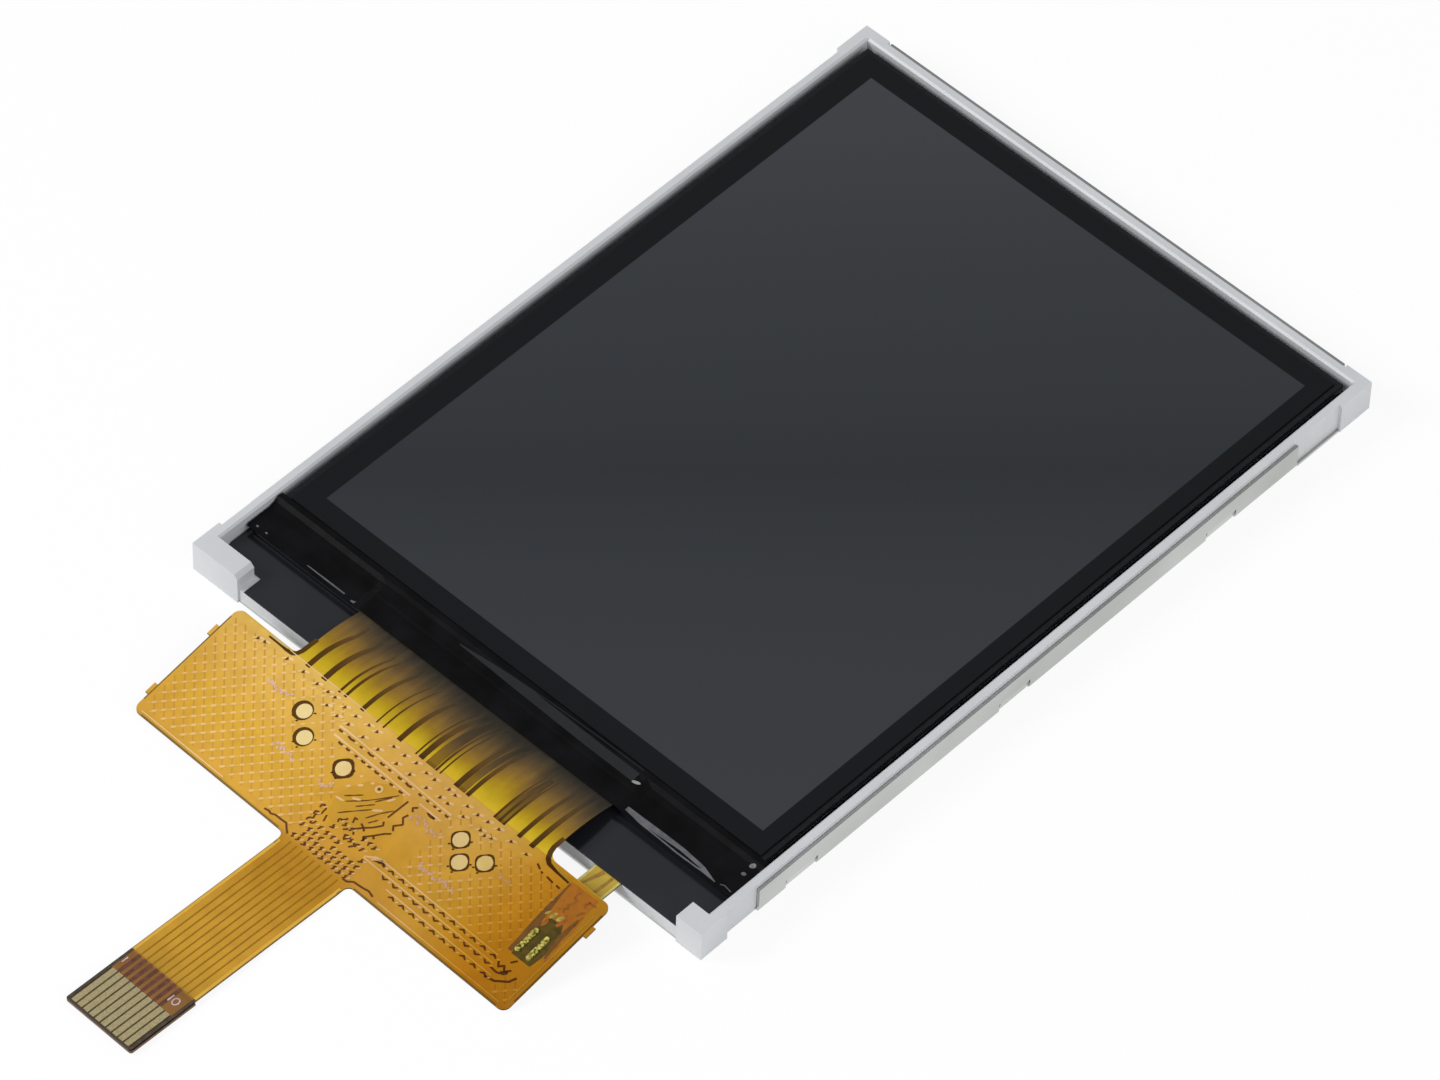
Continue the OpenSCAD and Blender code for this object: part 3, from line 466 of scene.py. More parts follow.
def amber_film(name, along, fade_mm=0.0, roughness=0.26, mottle=0.3):
    """Polyimide over copper. fade_mm is how far the ramp moves along on the neck, and
    mottle how much of the clouds shows."""
    material, tree, shader, place = finish_named(
        name, {"Roughness": roughness, "IOR": 1.5, "Specular IOR Level": 0.16})
    vector = add(tree, "VectorRotate", {"rotation_type": "Z_AXIS", "Angle": -FLEX_TURN,
                                        "Center": (0, TURN_Y * MM, 0)},
                 {"Vector": place})
    parts = add(tree, "SeparateXYZ", links={0: vector}).outputs
    side = add(tree, "MapRange",
               {"From Min": -SIDE_LIMIT * MM, "From Max": SIDE_LIMIT * MM},
               {"Value": parts["X"]})
    y = parts["Y"]
    if fade_mm:
        y = moved_along(tree, vector, side, y, fade_mm)
    run = add(tree, "MapRange", {"From Min": RAMP_FROM * MM, "From Max": RAMP_TO * MM},
              {"Value": y})
    tone = add(tree, "ValToRGB", {"stops": spread(along, RAMP_FROM, RAMP_TO)},
               {"Fac": run})
    across = add(tree, "ValToRGB", {"stops": spread(ACROSS, -SIDE_LIMIT, SIDE_LIMIT)},
                 {"Fac": side})
    front, rear = [add(tree, "MapRange", {"From Min": low * MM, "From Max": high * MM},
                       {"Value": parts["Y"]}) for low, high in
                   (WIDE_FRONT, WIDE_REAR)]
    on_wide = add(tree, "Math", {"operation": "MULTIPLY"}, {0: front, 1: rear})
    times = {"data_type": "RGBA", "blend_type": "MULTIPLY"}
    tone = add(tree, "Mix", times, {0: on_wide, 6: tone, 7: across}).outputs[2]
    shade = drift(tree, vector, 1.1, 4, [(0.35, "#D0CCC4"), (0.65, "#FFFFFF")])
    tone = add(tree, "Mix", {**times, 0: mottle}, {6: tone, 7: shade}).outputs[2]
    facing = add(tree, "NewGeometry").outputs["Normal"]
    upward = add(tree, "SeparateXYZ", links={0: facing}).outputs["Z"]
    edge = add(tree, "ValToRGB", {"stops": [(0.3, "#6E5C34"), (0.6, "#FFFFFF")]},
               {"Fac": upward})
    tone = add(tree, "Mix", {**times, 0: 1.0}, {6: tone, 7: edge}).outputs[2]
    ripple = add(tree, "TexNoise", {"Scale": per_metre(0.45), "Detail": 2},
                 {"Vector": vector})
    bump = add(tree, "Bump", {"Strength": 0.3, "Distance": 0.02 * MM},
               {"Height": ripple})
    join(shader, {"Base Color": tone, "Normal": bump})
    return material


def plain_amber(name, colour, roughness=0.26, mottle=0.2):
    """The same film with one colour along it, which still changes across the flex."""
    return amber_film(name, [(RAMP_FROM, colour), (RAMP_TO, colour)], 0.0, roughness,
                      mottle)


flex_film = amber_film("polyimide film over copper", ALONG, fade_mm=1.2)
pad_gold = plain_amber("gold-plated pad", "#FFE6A4", 0.3)
TAB_ALONG = [(-60, "#B98A28"), (-33.0, "#B98A28"), (-31.9, "#C9A43A"), (-30.0, "#CDAE48"),
             (-26.5, "#A8882E")]
tab_film = amber_film("polyimide film of the tab", TAB_ALONG)

# %% [markdown]
# Everything etched or printed on the flex is a thin raised shape on its top. A track is
# a line of points with a width: its two edges run half a width to either side, and the
# strip between them is laid on the film, lifted by about 0.01 mm. Pieces that cross get
# different lifts, so that no two lie in one plane.

# %% Strips, spots and patches
def fine_points(line, step):
    """The points of a line, with more set between them so that none is further than
    step from the next."""
    line = np.asarray(line, float)
    gaps = np.linalg.norm(np.diff(line, axis=0), axis=1)
    counts = np.maximum(1, np.ceil(gaps / step).astype(int))
    parts = [a + (b - a) * np.linspace(0, 1, n, endpoint=False)[:, None]
             for a, b, n in zip(line[:-1], line[1:], counts)]
    return np.vstack(parts + [line[-1:]])


def strip(line, width, step=0.2):
    """A track: points p along the line, edges p + n w/2 and p - n w/2, where n is the
    line's normal. A list of widths is spread evenly over the line's points. Gives
    layout vertices and faces."""
    p = fine_points(line, step)
    n = len(p)
    widths = np.atleast_1d(np.asarray(width, float))
    spots = np.linspace(0, 1, len(widths))
    half = np.interp(np.linspace(0, 1, n), spots, widths) / 2
    ahead = np.gradient(p, axis=0)
    ahead /= np.linalg.norm(ahead, axis=1)[:, None]
    side = np.column_stack([-ahead[:, 1], ahead[:, 0]]) * half[:, None]
    k = np.arange(n - 1)
    return np.vstack([p + side, p - side]), np.column_stack([k, k + n, k + n + 1, k + 1])


def spot(middle, radii, turn=0.0, sides=8):
    """A flat oval: (rx cos t, ry sin t), turned and moved to its middle."""
    t = np.linspace(0, 2 * np.pi, sides, endpoint=False)
    oval = np.column_stack([radii[0] * np.cos(t), radii[1] * np.sin(t)])
    c, s = math.cos(turn), math.sin(turn)
    return oval @ np.array([[c, s], [-s, c]]) + middle, np.arange(sides)[None, :]


def ring(middle, inner, outer, sides=20, square=0.0, shift=(0, 0)):
    """A ring of radius r(t) = r (1 + square cos 4t) between two radii, its outer edge
    shifted."""
    t = np.linspace(0, 2 * np.pi, sides, endpoint=False)
    unit = np.column_stack([np.cos(t), np.sin(t)]) * (1 + square * np.cos(4 * t))[:, None]
    k = np.arange(sides)
    faces = np.column_stack([k, k + sides, (k + 1) % sides + sides, (k + 1) % sides])
    return np.vstack([unit * inner, unit * outer + shift]) + middle, faces


def laid_piece(name, shapes, finish, lift, surface=on_flex):
    """One mesh of many flat shapes, laid on a surface, lift mm over it, facing up."""
    vertices, faces, start = [], [], 0
    for shape_points, shape_faces in shapes:
        vertices.append(shape_points)
        faces += (shape_faces + start).tolist()
        start += len(shape_points)
    laid = surface(np.vstack(vertices), lift) * MM
    mesh = bpy.data.meshes.new(name)
    mesh.from_pydata(laid.tolist(), [], faces)
    normals = np.empty(len(mesh.polygons) * 3)
    mesh.polygons.foreach_get("normal", normals)
    if normals.reshape(-1, 3)[:, 2].mean() < 0:
        mesh.flip_normals()
    mesh.materials.append(finish)
    piece = bpy.data.objects.new(name, mesh)
    scene.collection.objects.link(piece)
    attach(piece, "root")
    print("%s: %d shapes, %d faces" % (name, len(shapes), len(faces)))


# %% [markdown]
# Under the wide part the copper is a hatch, thin lines at 45 degrees 0.6 mm apart, which
# shields the tracks and still bends. The hatch is the copper's own pattern, and its light
# and dark are painted: the film stands up over the lines that lean one way, which are
# drawn lighter as a painted highlight, and sinks between them, so the lines that lean the
# other way are drawn darker as painted shade; where two lines cross, a brighter spot is a
# painted highlight. The hatch leaves out the test pads, the tracks behind them and the
# tail's slanting root.

# %% Hatched copper
HATCH, RIDGE_WIDE, GROOVE_WIDE = 0.6, 0.12, 0.1
CROSSING, CROSSING_TURN = np.array((0.17, 0.085)), math.radians(44)
POINTS_APART, FEWEST_POINTS = 0.08, 5
# The hatch finishes carry painted light: grooves painted shade, ridges and crossings
# painted highlights.
groove_shade_film = plain_amber("film between copper lines, painted shade", "#DCA440")
ridge_highlight_film = plain_amber("film over copper lines, painted highlight", "#F0BC58", 0.22)
crossing_highlight_film = plain_amber("film over a crossing, painted highlight", "#FACE88", 0.2)
LEFT_ZONE = (-15.55, -2.1, -40.3, -32.45)
RIGHT_ZONE = (4.4, 12.95, -38.15, -32.95)
END_ZONE = (14.2, 15.8, -40.4, -38.9)
KEEP_CLEAR = [(-2.99, -35.55, 1.0), (-7.62, -34.33, 0.82), (-6.32, -35.58, 0.82),
              (5.9, -34.42, 0.95), (6.9, -35.5, 1.0), (8.12, -34.61, 0.95)]
TRACKS_FROM_X, TRACKS_TO_Y = -5.3, -34.7
ROOT_X, ROOT_Y, ROOT_SLOPE = -2.2, -35.5, 0.35


def hatch_free(points, zone):
    """True for points inside a zone and clear of the pads and the tail's root."""
    x, y = points[:, 0], points[:, 1]
    inside = (x > zone[0]) & (x < zone[1]) & (y > zone[2]) & (y < zone[3])
    for cx, cy, r in KEEP_CLEAR:
        inside &= np.hypot(x - cx, y - cy) > r
    if zone is LEFT_ZONE:
        inside &= (x < TRACKS_FROM_X) | (y < TRACKS_TO_Y)
        inside &= x < ROOT_X - ROOT_SLOPE * (y - ROOT_Y)
    return inside


def hatch_lines(zone, slope):
    """Lines y = slope x + c through a zone, c stepping by HATCH times root two, cut
    wherever the hatch is left out."""
    x0, x1, _, top = zone
    x = np.arange(x0, x1, POINTS_APART)
    pieces = []
    for j in range(-40, 60):
        line = np.column_stack([x, slope * (x - x0) + top + j * HATCH * math.sqrt(2)])
        free = hatch_free(line, zone)
        edges = np.flatnonzero(np.diff(np.concatenate([[0], free, [0]])))
        pieces += [line[a:b] for a, b in edges.reshape(-1, 2)
                   if b - a >= FEWEST_POINTS]
    return pieces


ridges, grooves, dots = [], [], []
rng = np.random.default_rng(7)
step = HATCH * math.sqrt(2)
for zone in (LEFT_ZONE, RIGHT_ZONE, END_ZONE):
    ridges += [strip(line, RIDGE_WIDE, 0.4) for line in hatch_lines(zone, 1)]
    grooves += [strip(line, GROOVE_WIDE, 0.4) for line in hatch_lines(zone, -1)]
    i, j = np.meshgrid(np.arange(40), np.arange(40))
    nodes = np.column_stack([(zone[0] + (i + (j % 2) / 2) * step).ravel(),
                             (zone[3] - j * step / 2).ravel()])
    nodes = nodes[hatch_free(nodes, zone)]
    dots += [spot(node, CROSSING * size, CROSSING_TURN)
             for node, size in zip(nodes, rng.uniform(0.85, 1.15, len(nodes)))]
laid_piece("hatch_grooves", grooves, groove_shade_film, lift=0.004)
laid_piece("hatch_ridges", ridges, ridge_highlight_film, lift=0.007)
laid_piece("hatch_crossings", dots, crossing_highlight_film, lift=0.012)

# %% [markdown]
# The tracks on the neck show as dark slots between the copper. They run from the glass
# to the wide part and fade where the film turns away from the light. Along both edges
# of the neck a broad dark slot follows the corner, so that a tear would stop there.

# %% Neck tracks
TRACKS = [
    (-9.7, 0.36), (-8.3, 0.4), (-6.95, 0.17), (-6.45, 0.2), (-5.0, 0.3),
    (-3.72, 0.1), (-3.15, 0.12), (-1.8, 0.36), (-0.35, 0.11), (0.08, 0.4),
    (1.38, 0.15), (1.72, 0.1), (3.08, 0.4), (4.05, 0.3), (6.33, 0.16),
    (6.75, 0.19), (7.12, 0.16), (8.4, 0.3), (9.45, 0.36)]
SLOT_ALONG = [(-60, "#4A3010"), (-31.0, "#573C14"), (-29.8, "#66481E"), (-28.9, "#664A26"),
              (-28.0, "#554428"), (-27.2, "#44392A"), (-26.5, "#302B24")]
DIM_ALONG = [(-60, "#8A6A20"), (-31.2, "#8A6A20"), (-30.0, "#70562A"), (-28.8, "#58462E"),
             (-27.6, "#473B2A"), (-26.5, "#302B24")]
track_slot = amber_film("slot between copper tracks", SLOT_ALONG, 1.5)
dim_copper = amber_film("bare film between tracks", DIM_ALONG, 1.5)
NECK_LOW, NECK_HIGH = -32.1, -26.9


def neck_track(x, width):
    """A slot that runs up the neck and leans by (0.17 - 0.017 x) h^2, where h is how
    far past y = -31.3 it is, over 2.5 mm. It narrows towards its end."""
    y = np.linspace(NECK_LOW, NECK_HIGH - 0.35 * ((x * 7) % 3), 28)
    h = np.clip((y + 31.3) / 2.5, 0, None)
    lean = np.minimum((0.17 - 0.017 * x) * h ** 2, 0.45)
    return strip(np.column_stack([x + lean, y]), [width, width, width * 0.85, width * 0.4])


slots = [neck_track(x, w) for x, w in TRACKS]
left_guard = [(-13.0, -32.1), (-11.5, -32.1), (-11.05, -32.03), (-10.85, -31.85),
              (-10.72, -31.5), (-10.66, -30.3)]
right_guard = [(12.9, -32.36), (11.85, -32.3), (11.1, -32.2), (10.8, -31.98),
               (10.6, -31.6), (10.5, -31.2), (10.5, -30.35)]
slots += [strip(left_guard, [0.12, 0.14, 0.3, 0.32, 0.3]),
          strip(right_guard, [0.12, 0.16, 0.32, 0.34, 0.3])]
rim_film = plain_amber("cut edge of clear film", "#D2C894", 0.3)
left_rim = [(-12.9, -31.93), (-11.5, -31.93)]
right_rim = [(12.95, -32.2), (11.8, -32.13)]
laid_piece("neck_rims", [strip(left_rim, 0.09), strip(right_rim, 0.09)], rim_film,
           lift=0.014)
laid_piece("neck_dim_zone", [neck_track(0.88, 0.75), neck_track(3.55, 0.5),
                             neck_track(6.75, 0.7)], dim_copper, lift=0.006)
laid_piece("neck_tracks", slots, track_slot, lift=0.01)

# %% [markdown]
# On the wide part, vias and the ends of tracks show as small dark marks, each with a
# pale edge beside it, a painted highlight where the film stands over the copper.

# %% Vias
dark_mark = plain_amber("slot in the copper", "#744A26", 0.35)
# Pale edges, raised lines and spots beside the marks all take this painted highlight
# colour.
raised_highlight_film = plain_amber("film over a track, painted highlight", "#FFD99C", 0.2)
VIAS = {-32.55: [-13.4, -12.9, -11.0, -9.6, -8.35, -7.45, -6.85, -5.9, -4.95, -3.9, -3.2,
                 -1.7, -0.75, 0.15, 1.1, 1.8, 2.95, 3.5, 4.6, 5.5, 6.3, 7.15, 8.3, 9.6],
        -33.25: [-6.85, -5.85, -4.9, -3.6, -2.3, -0.75, 0.4, 1.8, 2.9, 3.55, 4.9, 6.35,
                 6.8, 7.2]}
marks, pale = [], []
for row_y, xs in VIAS.items():
    for x in xs:
        y = row_y + 0.07 * math.sin(9 * x)
        marks.append(spot((x, y), (0.15, 0.1), 0.7 + 0.5 * math.sin(5 * x)))
        pale += [spot((x + 0.2, y + 0.12), (0.2, 0.09), 0.2),
                 spot((x - 0.2, y - 0.1), (0.16, 0.06), 0.8)]
print("vias:", len(marks))

# %% [markdown]
# Long tracks show as a raised line painted pale, a painted highlight, with dark marks
# under it where the copper ends.

# %% Raised tracks
RAISED = [[(-5.25, -33.66), (-4.6, -33.62), (4.3, -33.64)],
          [(-5.1, -34.27), (-0.5, -34.25), (1.45, -34.28)],
          [(2.25, -34.3), (4.1, -34.32)]]
pale += [strip(line, [0.16, 0.1, 0.15, 0.11, 0.15]) for line in RAISED]
UPPER_MARKS = [
    (-4.95, 0.3), (-4.05, 0.55), (-3.2, 0.2), (-2.4, 0.5), (-1.4, 0.35),
    (-0.75, 0.2), (0.1, 0.3), (0.85, 0.5), (1.85, 0.25), (2.5, 0.2), (3.1, 0.2),
    (3.5, 0.2), (4.1, 0.25)]
LOWER_MARKS = [(-4.35, 0.35), (-3.7, 0.3), (-3.0, 0.2), (-2.4, 0.3), (-1.9, 0.3),
               (-1.25, 0.35), (-0.7, 0.3), (0.0, 0.25), (0.8, 0.3), (3.4, 0.5)]
for row, y in ((UPPER_MARKS, -33.83), (LOWER_MARKS, -34.45)):
    marks += [strip([(x - w / 2, y), (x, y - 0.05), (x + w / 2, y)], 0.14, 0.15)
              for x, w in row]
    pale += [spot((x + w / 2 + 0.16, y - 0.02), (0.13, 0.06), 0.4) for x, w in row]
print("raised tracks:", len(RAISED))

# %% [markdown]
# Three rows of short dark slots run to the right corner, each against a pale line, and
# pale lines follow the edges of the film; these pale lines and spots are painted
# highlights. Behind the rows the slots turn the corner.

# %% Rows of slots
ROW_STEP = 0.862
ROWS = [(3.4, 12.9, -38.57, 1), (4.2, 12.95, -39.12, -1), (5.5, 13.35, -39.78, 1)]
for x0, x1, y_mark, way in ROWS:
    for x in np.arange(x0, x1, ROW_STEP):
        marks.append(strip([(x - 0.24, y_mark - 0.07 * way), (x, y_mark + 0.07 * way),
                            (x + 0.24, y_mark - 0.07 * way)], [0.08, 0.15, 0.08], 0.1))
        pale.append(spot((x + 0.43, y_mark), (0.12, 0.06), 0.6))
pale += [
    strip([(2.7, -38.75), (3.1, -38.45), (3.4, -38.37), (13.1, -38.37)], 0.1),
    strip([(2.2, -38.93), (13.2, -38.93)], 0.09),
    strip([(4.8, -39.57), (13.7, -39.57)], 0.09),
    strip([(-15.3, -40.55), (-8.2, -40.55)], 0.07),
    strip([(5.0, -40.5), (15.3, -40.5)], 0.07),
    strip([(15.62, -33.0), (15.62, -40.0)], 0.07),
    strip([(-11.3, -31.96), (-4.7, -31.96)], 0.05)]
marks += [
    strip([(13.35, -38.6), (13.6, -38.9), (13.85, -38.62), (14.1, -38.92),
           (14.4, -38.6)], 0.13, 0.1),
    strip([(13.25, -39.2), (13.8, -39.22), (14.2, -39.05), (14.35, -38.85)],
          0.13, 0.1),
    strip([(13.4, -39.85), (14.1, -39.7), (14.8, -39.2), (15.0, -38.75)], 0.15, 0.1)]
print("marks so far:", len(marks))

# %% [markdown]
# Ten tracks gather at the root of the tail. Between them the hatch is cut into short
# crooked pieces, drawn here as little steps whose places come from one seeded draw,
# each with a pale spot beside it, a painted highlight.

# %% Root of the tail
TAIL_X, PITCH = 0.1, 0.5
DENSE_TO, DENSE, SPARSE, THINNING = -39.5, 0.95, 0.6, 0.03
for k in range(10):
    x = TAIL_X - 4.5 * PITCH + PITCH * k
    for y in (-40.55, -40.15, -39.7, -39.2, -38.65, -38.1):
        if rng.uniform() < (DENSE if y < DENSE_TO else SPARSE) - THINNING * abs(x):
            a = rng.uniform(-0.12, 0.12, 2)
            marks.append(strip([(x - 0.12 + a[1], y - 0.16), (x + a[0], y - 0.02),
                                (x - 0.08, y + 0.05), (x + 0.06 + a[1], y + 0.17)],
                               [0.08, 0.13, 0.13, 0.08], 0.1))
            pale.append(spot((x + 0.2, y + 0.08), (0.14, 0.05), 0.9))
JAGGED = [
    [(-4.75, -40.42), (-4.4, -40.36), (-4.2, -40.42), (-3.9, -40.3), (-3.5, -40.3),
     (-3.0, -40.27), (-2.75, -40.5), (-2.45, -40.72)],
    [(4.55, -40.42), (4.1, -40.3), (3.7, -40.38), (3.3, -40.42), (2.95, -40.45),
     (2.6, -40.7), (2.3, -40.72)],
    [(-1.91, -39.37), (-2.08, -38.75), (-1.84, -38.47), (-1.85, -38.09),
     (-2.15, -37.94)],
    [(2.34, -36.59), (2.1, -36.34), (2.49, -35.92), (2.16, -35.58), (2.28, -35.26)],
    [(2.34, -34.96), (2.14, -34.75), (2.39, -34.54)],
    [(1.44, -36.16), (1.62, -34.62)],
    [(0.67, -38.27), (0.41, -37.98), (0.82, -37.56), (1.25, -37.17), (1.62, -36.71),
     (1.45, -36.5)], [(0.5, -37.44), (0.82, -37.56), (1.01, -37.71)],
    [(1.21, -38.02), (1.65, -37.55), (2.06, -37.06), (2.39, -36.78)],
    [(1.25, -37.98), (1.45, -38.17)], [(1.66, -37.55), (1.83, -37.71)],
    [(-1.37, -38.78), (-1.51, -38.35)],
    [(0.08, -37.74), (-0.07, -37.4), (0.16, -37.4)],
    [(-0.58, -38.09), (-0.34, -37.7)], [(-0.07, -38.41), (0.16, -38.19)],
    [(0.41, -38.87), (0.7, -38.49)], [(1.02, -39.02), (1.23, -38.78), (1.06, -38.57)],
    [(2.77, -38.71), (3.12, -38.6), (3.46, -38.42), (3.67, -38.6)],
    [(3.05, -34.45), (3.32, -34.35), (3.79, -34.51)],
    [(10.55, -32.62), (10.93, -32.8)], [(11.08, -32.86), (11.25, -32.9)],
    [(11.6, -32.89), (12.16, -32.95)], [(12.44, -32.95), (12.74, -32.97)],
    [(13.94, -39.08), (14.31, -38.77)], [(13.98, -38.26), (14.24, -37.91)]]
marks += [strip(line, 0.12, 0.1) for line in JAGGED]
print("dark marks: %d, pale edges: %d" % (len(marks), len(pale)))

# %% [markdown]
# Beside the third pad a window in the copper lets the base show through, so the film is
# more olive there. A few thin tracks cross it and close in on the end of a raised one.
# Their lit edges, and a pale ring round that end, are painted highlights.

# %% Window in the copper
laid_piece("copper_window", [
    strip([(1.3, -34.75), (0.48, -35.4), (-0.15, -36.2),
           (-0.7, -37.0), (-1.0, -37.6), (-1.3, -38.4)],
          [0.6, 2.0, 2.9, 2.8, 2.2, 0.6])],
    plain_amber("film with no copper under it", "#E2B03E", 0.3), lift=0.002)
THIN_TRACKS = [
    [(-1.12, -37.83), (-0.56, -37.26), (0.35, -36.36)],
    [(0.43, -37.03), (0.92, -36.24), (1.41, -35.61)],
    [(-1.3, -36.99), (-0.33, -36.14), (0.17, -35.59), (0.92, -34.69)],
    [(-1.63, -36.78), (-0.77, -36.02)], [(-0.59, -36.86), (0.23, -36.03)],
    [(0.79, -37.16), (1.12, -36.66)], [(0.1, -35.9), (0.7, -35.05)]]
marks += [strip(line, [0.06, 0.1, 0.05, 0.09, 0.05], 0.15) for line in THIN_TRACKS]
LIT_EDGES = [
    [(-2.03, -36.28), (-1.8, -36.06)], [(-1.53, -35.8), (-1.23, -35.57)],
    [(-1.16, -36.6), (-0.65, -36.36)], [(-2.0, -37.15), (-1.41, -37.05)],
    [(-1.84, -35.28), (-1.68, -35.14)], [(0.35, -36.44), (0.91, -36.02)],
    [(0.62, -35.44), (0.93, -34.99)], [(-1.0, -35.2), (-0.8, -35.05)],
    [(2.18, -38.88), (2.84, -38.48), (3.5, -38.31)]]
pale += [strip(line, [0.1, 0.18, 0.1]) for line in LIT_EDGES]
pale.append(ring((-0.32, -35.16), 0.13, 0.27, 12))
marks.append(spot((-0.32, -35.16), (0.1, 0.08)))

# %% [markdown]
# The film is punched out past the copper, so that a narrow border of it is bare and its
# cut edge shows as a darker line. With these lines the marks and the painted highlights
# gathered so far are laid.

# %% Edges of the film
EDGE_LINES = [
    [(-15.78, -39.9), (-15.78, -32.6)], [(-15.1, -40.75), (-3.2, -40.75)],
    [(3.3, -40.75), (15.3, -40.75)], [(15.97, -39.9), (15.97, -32.6)],
    [(-2.6, -41.3), (-2.6, -53.2)], [(2.8, -41.3), (2.8, -53.2)]]
laid_piece("film_edges", [strip(line, 0.09, 0.5) for line in EDGE_LINES],
           plain_amber("cut edge of the film", "#8C7436", 0.4), lift=0.003)
laid_piece("slots_and_vias", marks, dark_mark, lift=0.016)
laid_piece("raised_track_highlights", pale, raised_highlight_film, lift=0.018)

# %% [markdown]
# Each test pad is a gold disc, a CAD piece, in an opening of the film. The film's edge
# and the bare base around the disc make a dark outline, with small dark marks beside it.

# %% Pad outlines
PADS = np.array([(-7.62, -34.33), (-6.32, -35.58), (-2.99, -35.55),
                 (5.88, -34.42), (6.9, -35.53), (8.12, -34.61)])
outlines = [
    ring(PADS[0], 0.5, 0.68, shift=(-0.11, -0.02)),
    ring(PADS[1], 0.5, 0.66, shift=(-0.1, 0.0)),
    ring(PADS[2], 0.5, 0.72, square=0.08)]
outlines += [ring(p, 0.5, 0.64, square=0.08) for p in PADS[3:]]
outlines += [spot(p + d, (0.09, 0.06), 0.8) for p in PADS
             for d in ((-0.35, -0.62), (0.62, 0.3), (0.1, -0.74))]
laid_piece("pad_outlines", outlines,
           plain_amber("bare base round a pad", "#5E3F12", 0.4), lift=0.013)

# %% [markdown]
# The tail holds ten tracks side by side. Between them the film is a darker brown, and
# outside them a clear border is brighter. On the stiffened end the gaps turn red brown,
# because the brown board lies under them, and its edge frames the contacts.

# %% Tail
tail_gap = plain_amber("film between tracks", "#A2741E", 0.3)
tail_border = plain_amber("clear edge of the film", "#EAB648", 0.22)
board_gap = film_finish("board seen between tracks", "#5E382A", "#744636", 0.4, 0.35)
contact_gap = film_finish("film between contacts", "#463A20", "#5A4B2C", 0.3, 0.4)
board_edge = film_finish("board edge", "#3E372E", "#50483E", 0.4, 0.5)
gap_x = TAIL_X + PITCH * (np.arange(9) - 4)
border_x, edge_x = (TAIL_X - 2.6, TAIL_X + 2.6), (TAIL_X - 2.65, TAIL_X + 2.65)
film_slot, board_slot = "flex_polyimide", "stiffener_polyimide"
LENGTHWISE = [
    ("tail_gaps", gap_x, -40.95, -53.2, 0.1, tail_gap, 0.008, film_slot),
    ("tail_borders", border_x, -41.3, -53.15, 0.2, tail_border, 0.006, film_slot),
    ("board_gaps", gap_x[:8], -53.22, -54.98, 0.26, board_gap, 0.008, board_slot),
    ("contact_gaps", gap_x, -55.0, -58.3, 0.1, contact_gap, 0.022, board_slot),
    ("board_edges", edge_x, -53.22, -58.43, 0.2, board_edge, 0.01, board_slot)]
for name, xs, y_from, y_to, width, finish, lift, slot in LENGTHWISE:
    laid_piece(name, [strip([(x, y_from), (x, y_to)], width) for x in xs], finish, lift)

# %% [markdown]
# White ink is printed last: numbers 1 and 10 beside the end contacts, and a small mark
# beside each group of pads, made here as a row of worn blots.

# %% Printed marks
def oval_line(middle, rx, ry, sides=14):
    """A closed line: (rx cos t, ry sin t) round its middle, ending where it began."""
    t = np.linspace(0, 2 * np.pi, sides + 1)
    return np.column_stack([rx * np.cos(t), ry * np.sin(t)]) + middle


INK = 0.1
worn = []
ink = [strip([(-2.28, -53.85), (-2.28, -54.35)], INK, 0.1),
       strip([(1.66, -53.82), (1.66, -54.38)], INK, 0.1),
       strip(oval_line((2.08, -54.1), 0.2, 0.27), INK, 0.1)]
MARK_BLOCKS = [(-9.85, -34.2, 1.9, 0.6), (-6.5, -36.95, 2.0, 0.6), (-3.05, -37.0, 1.0, 0.7),
               (3.65, -35.1, 2.3, 0.6), (6.65, -37.1, 2.9, 0.6), (9.85, -34.5, 1.0, 0.7)]
for cx, cy, wide, high in MARK_BLOCKS:
    for x in np.arange(cx - wide / 2, cx + wide / 2, 0.2):
        y = cy + high * rng.uniform(-0.35, 0.35)
        worn.append(spot((x, y), (rng.uniform(0.08, 0.2), 0.09), rng.uniform(0, 3)))
laid_piece("worn_marks", worn,
           plain_amber("white printing ink, worn through", "#EABFA8", 0.5), lift=0.019)
laid_piece("printed_marks", ink,
           film_finish("white printing ink", "#BFA6A8", "#D8C4C8", 0.25, 0.6), lift=0.02)

# %% [markdown]
# The backlight's tab comes out of the frame and dives under the right end of the flex.
# Through the film it looks a deeper brown, partly the tab itself and partly a painted
# shadow under the film, with a dark line of painted shade where its edge lifts the film,
# and short crooked tracks in it.

# %% Tab under the film
# The film over the tab is partly a painted shadow, and the edge line below is painted
# shade.
tab_shadow = film_finish("film over the tab, partly painted shadow", "#A0600A", "#AC6810", 0.5, 0.25)
tab_crook = film_finish("tracks of the tab under film", "#8A4E08", "#985A10", 0.4, 0.3)
tab_edge_shade = film_finish("edge of the tab under film, painted shade", "#6C4412", "#784E18", 0.5, 0.3)
flux_dark = film_finish("flux beside the solder", "#463A02", "#5E4A0A", 0.4, 0.2)
laid_piece("tab_shade", [
    strip([(14.1, -32.12), (14.15, -34.9)], [2.15, 2.2]),
    strip([(15.2, -33.4), (15.22, -35.4), (15.34, -37.0)],
          [0.1, 0.42, 0.4, 0.2])],
    tab_shadow, lift=0.003)
laid_piece("flux_under_film", [
    strip([(14.2, -34.6), (14.25, -35.2), (14.3, -37.75)],
          [0.9, 1.6, 1.9, 1.8, 1.5])],
    flux_dark, lift=0.004)
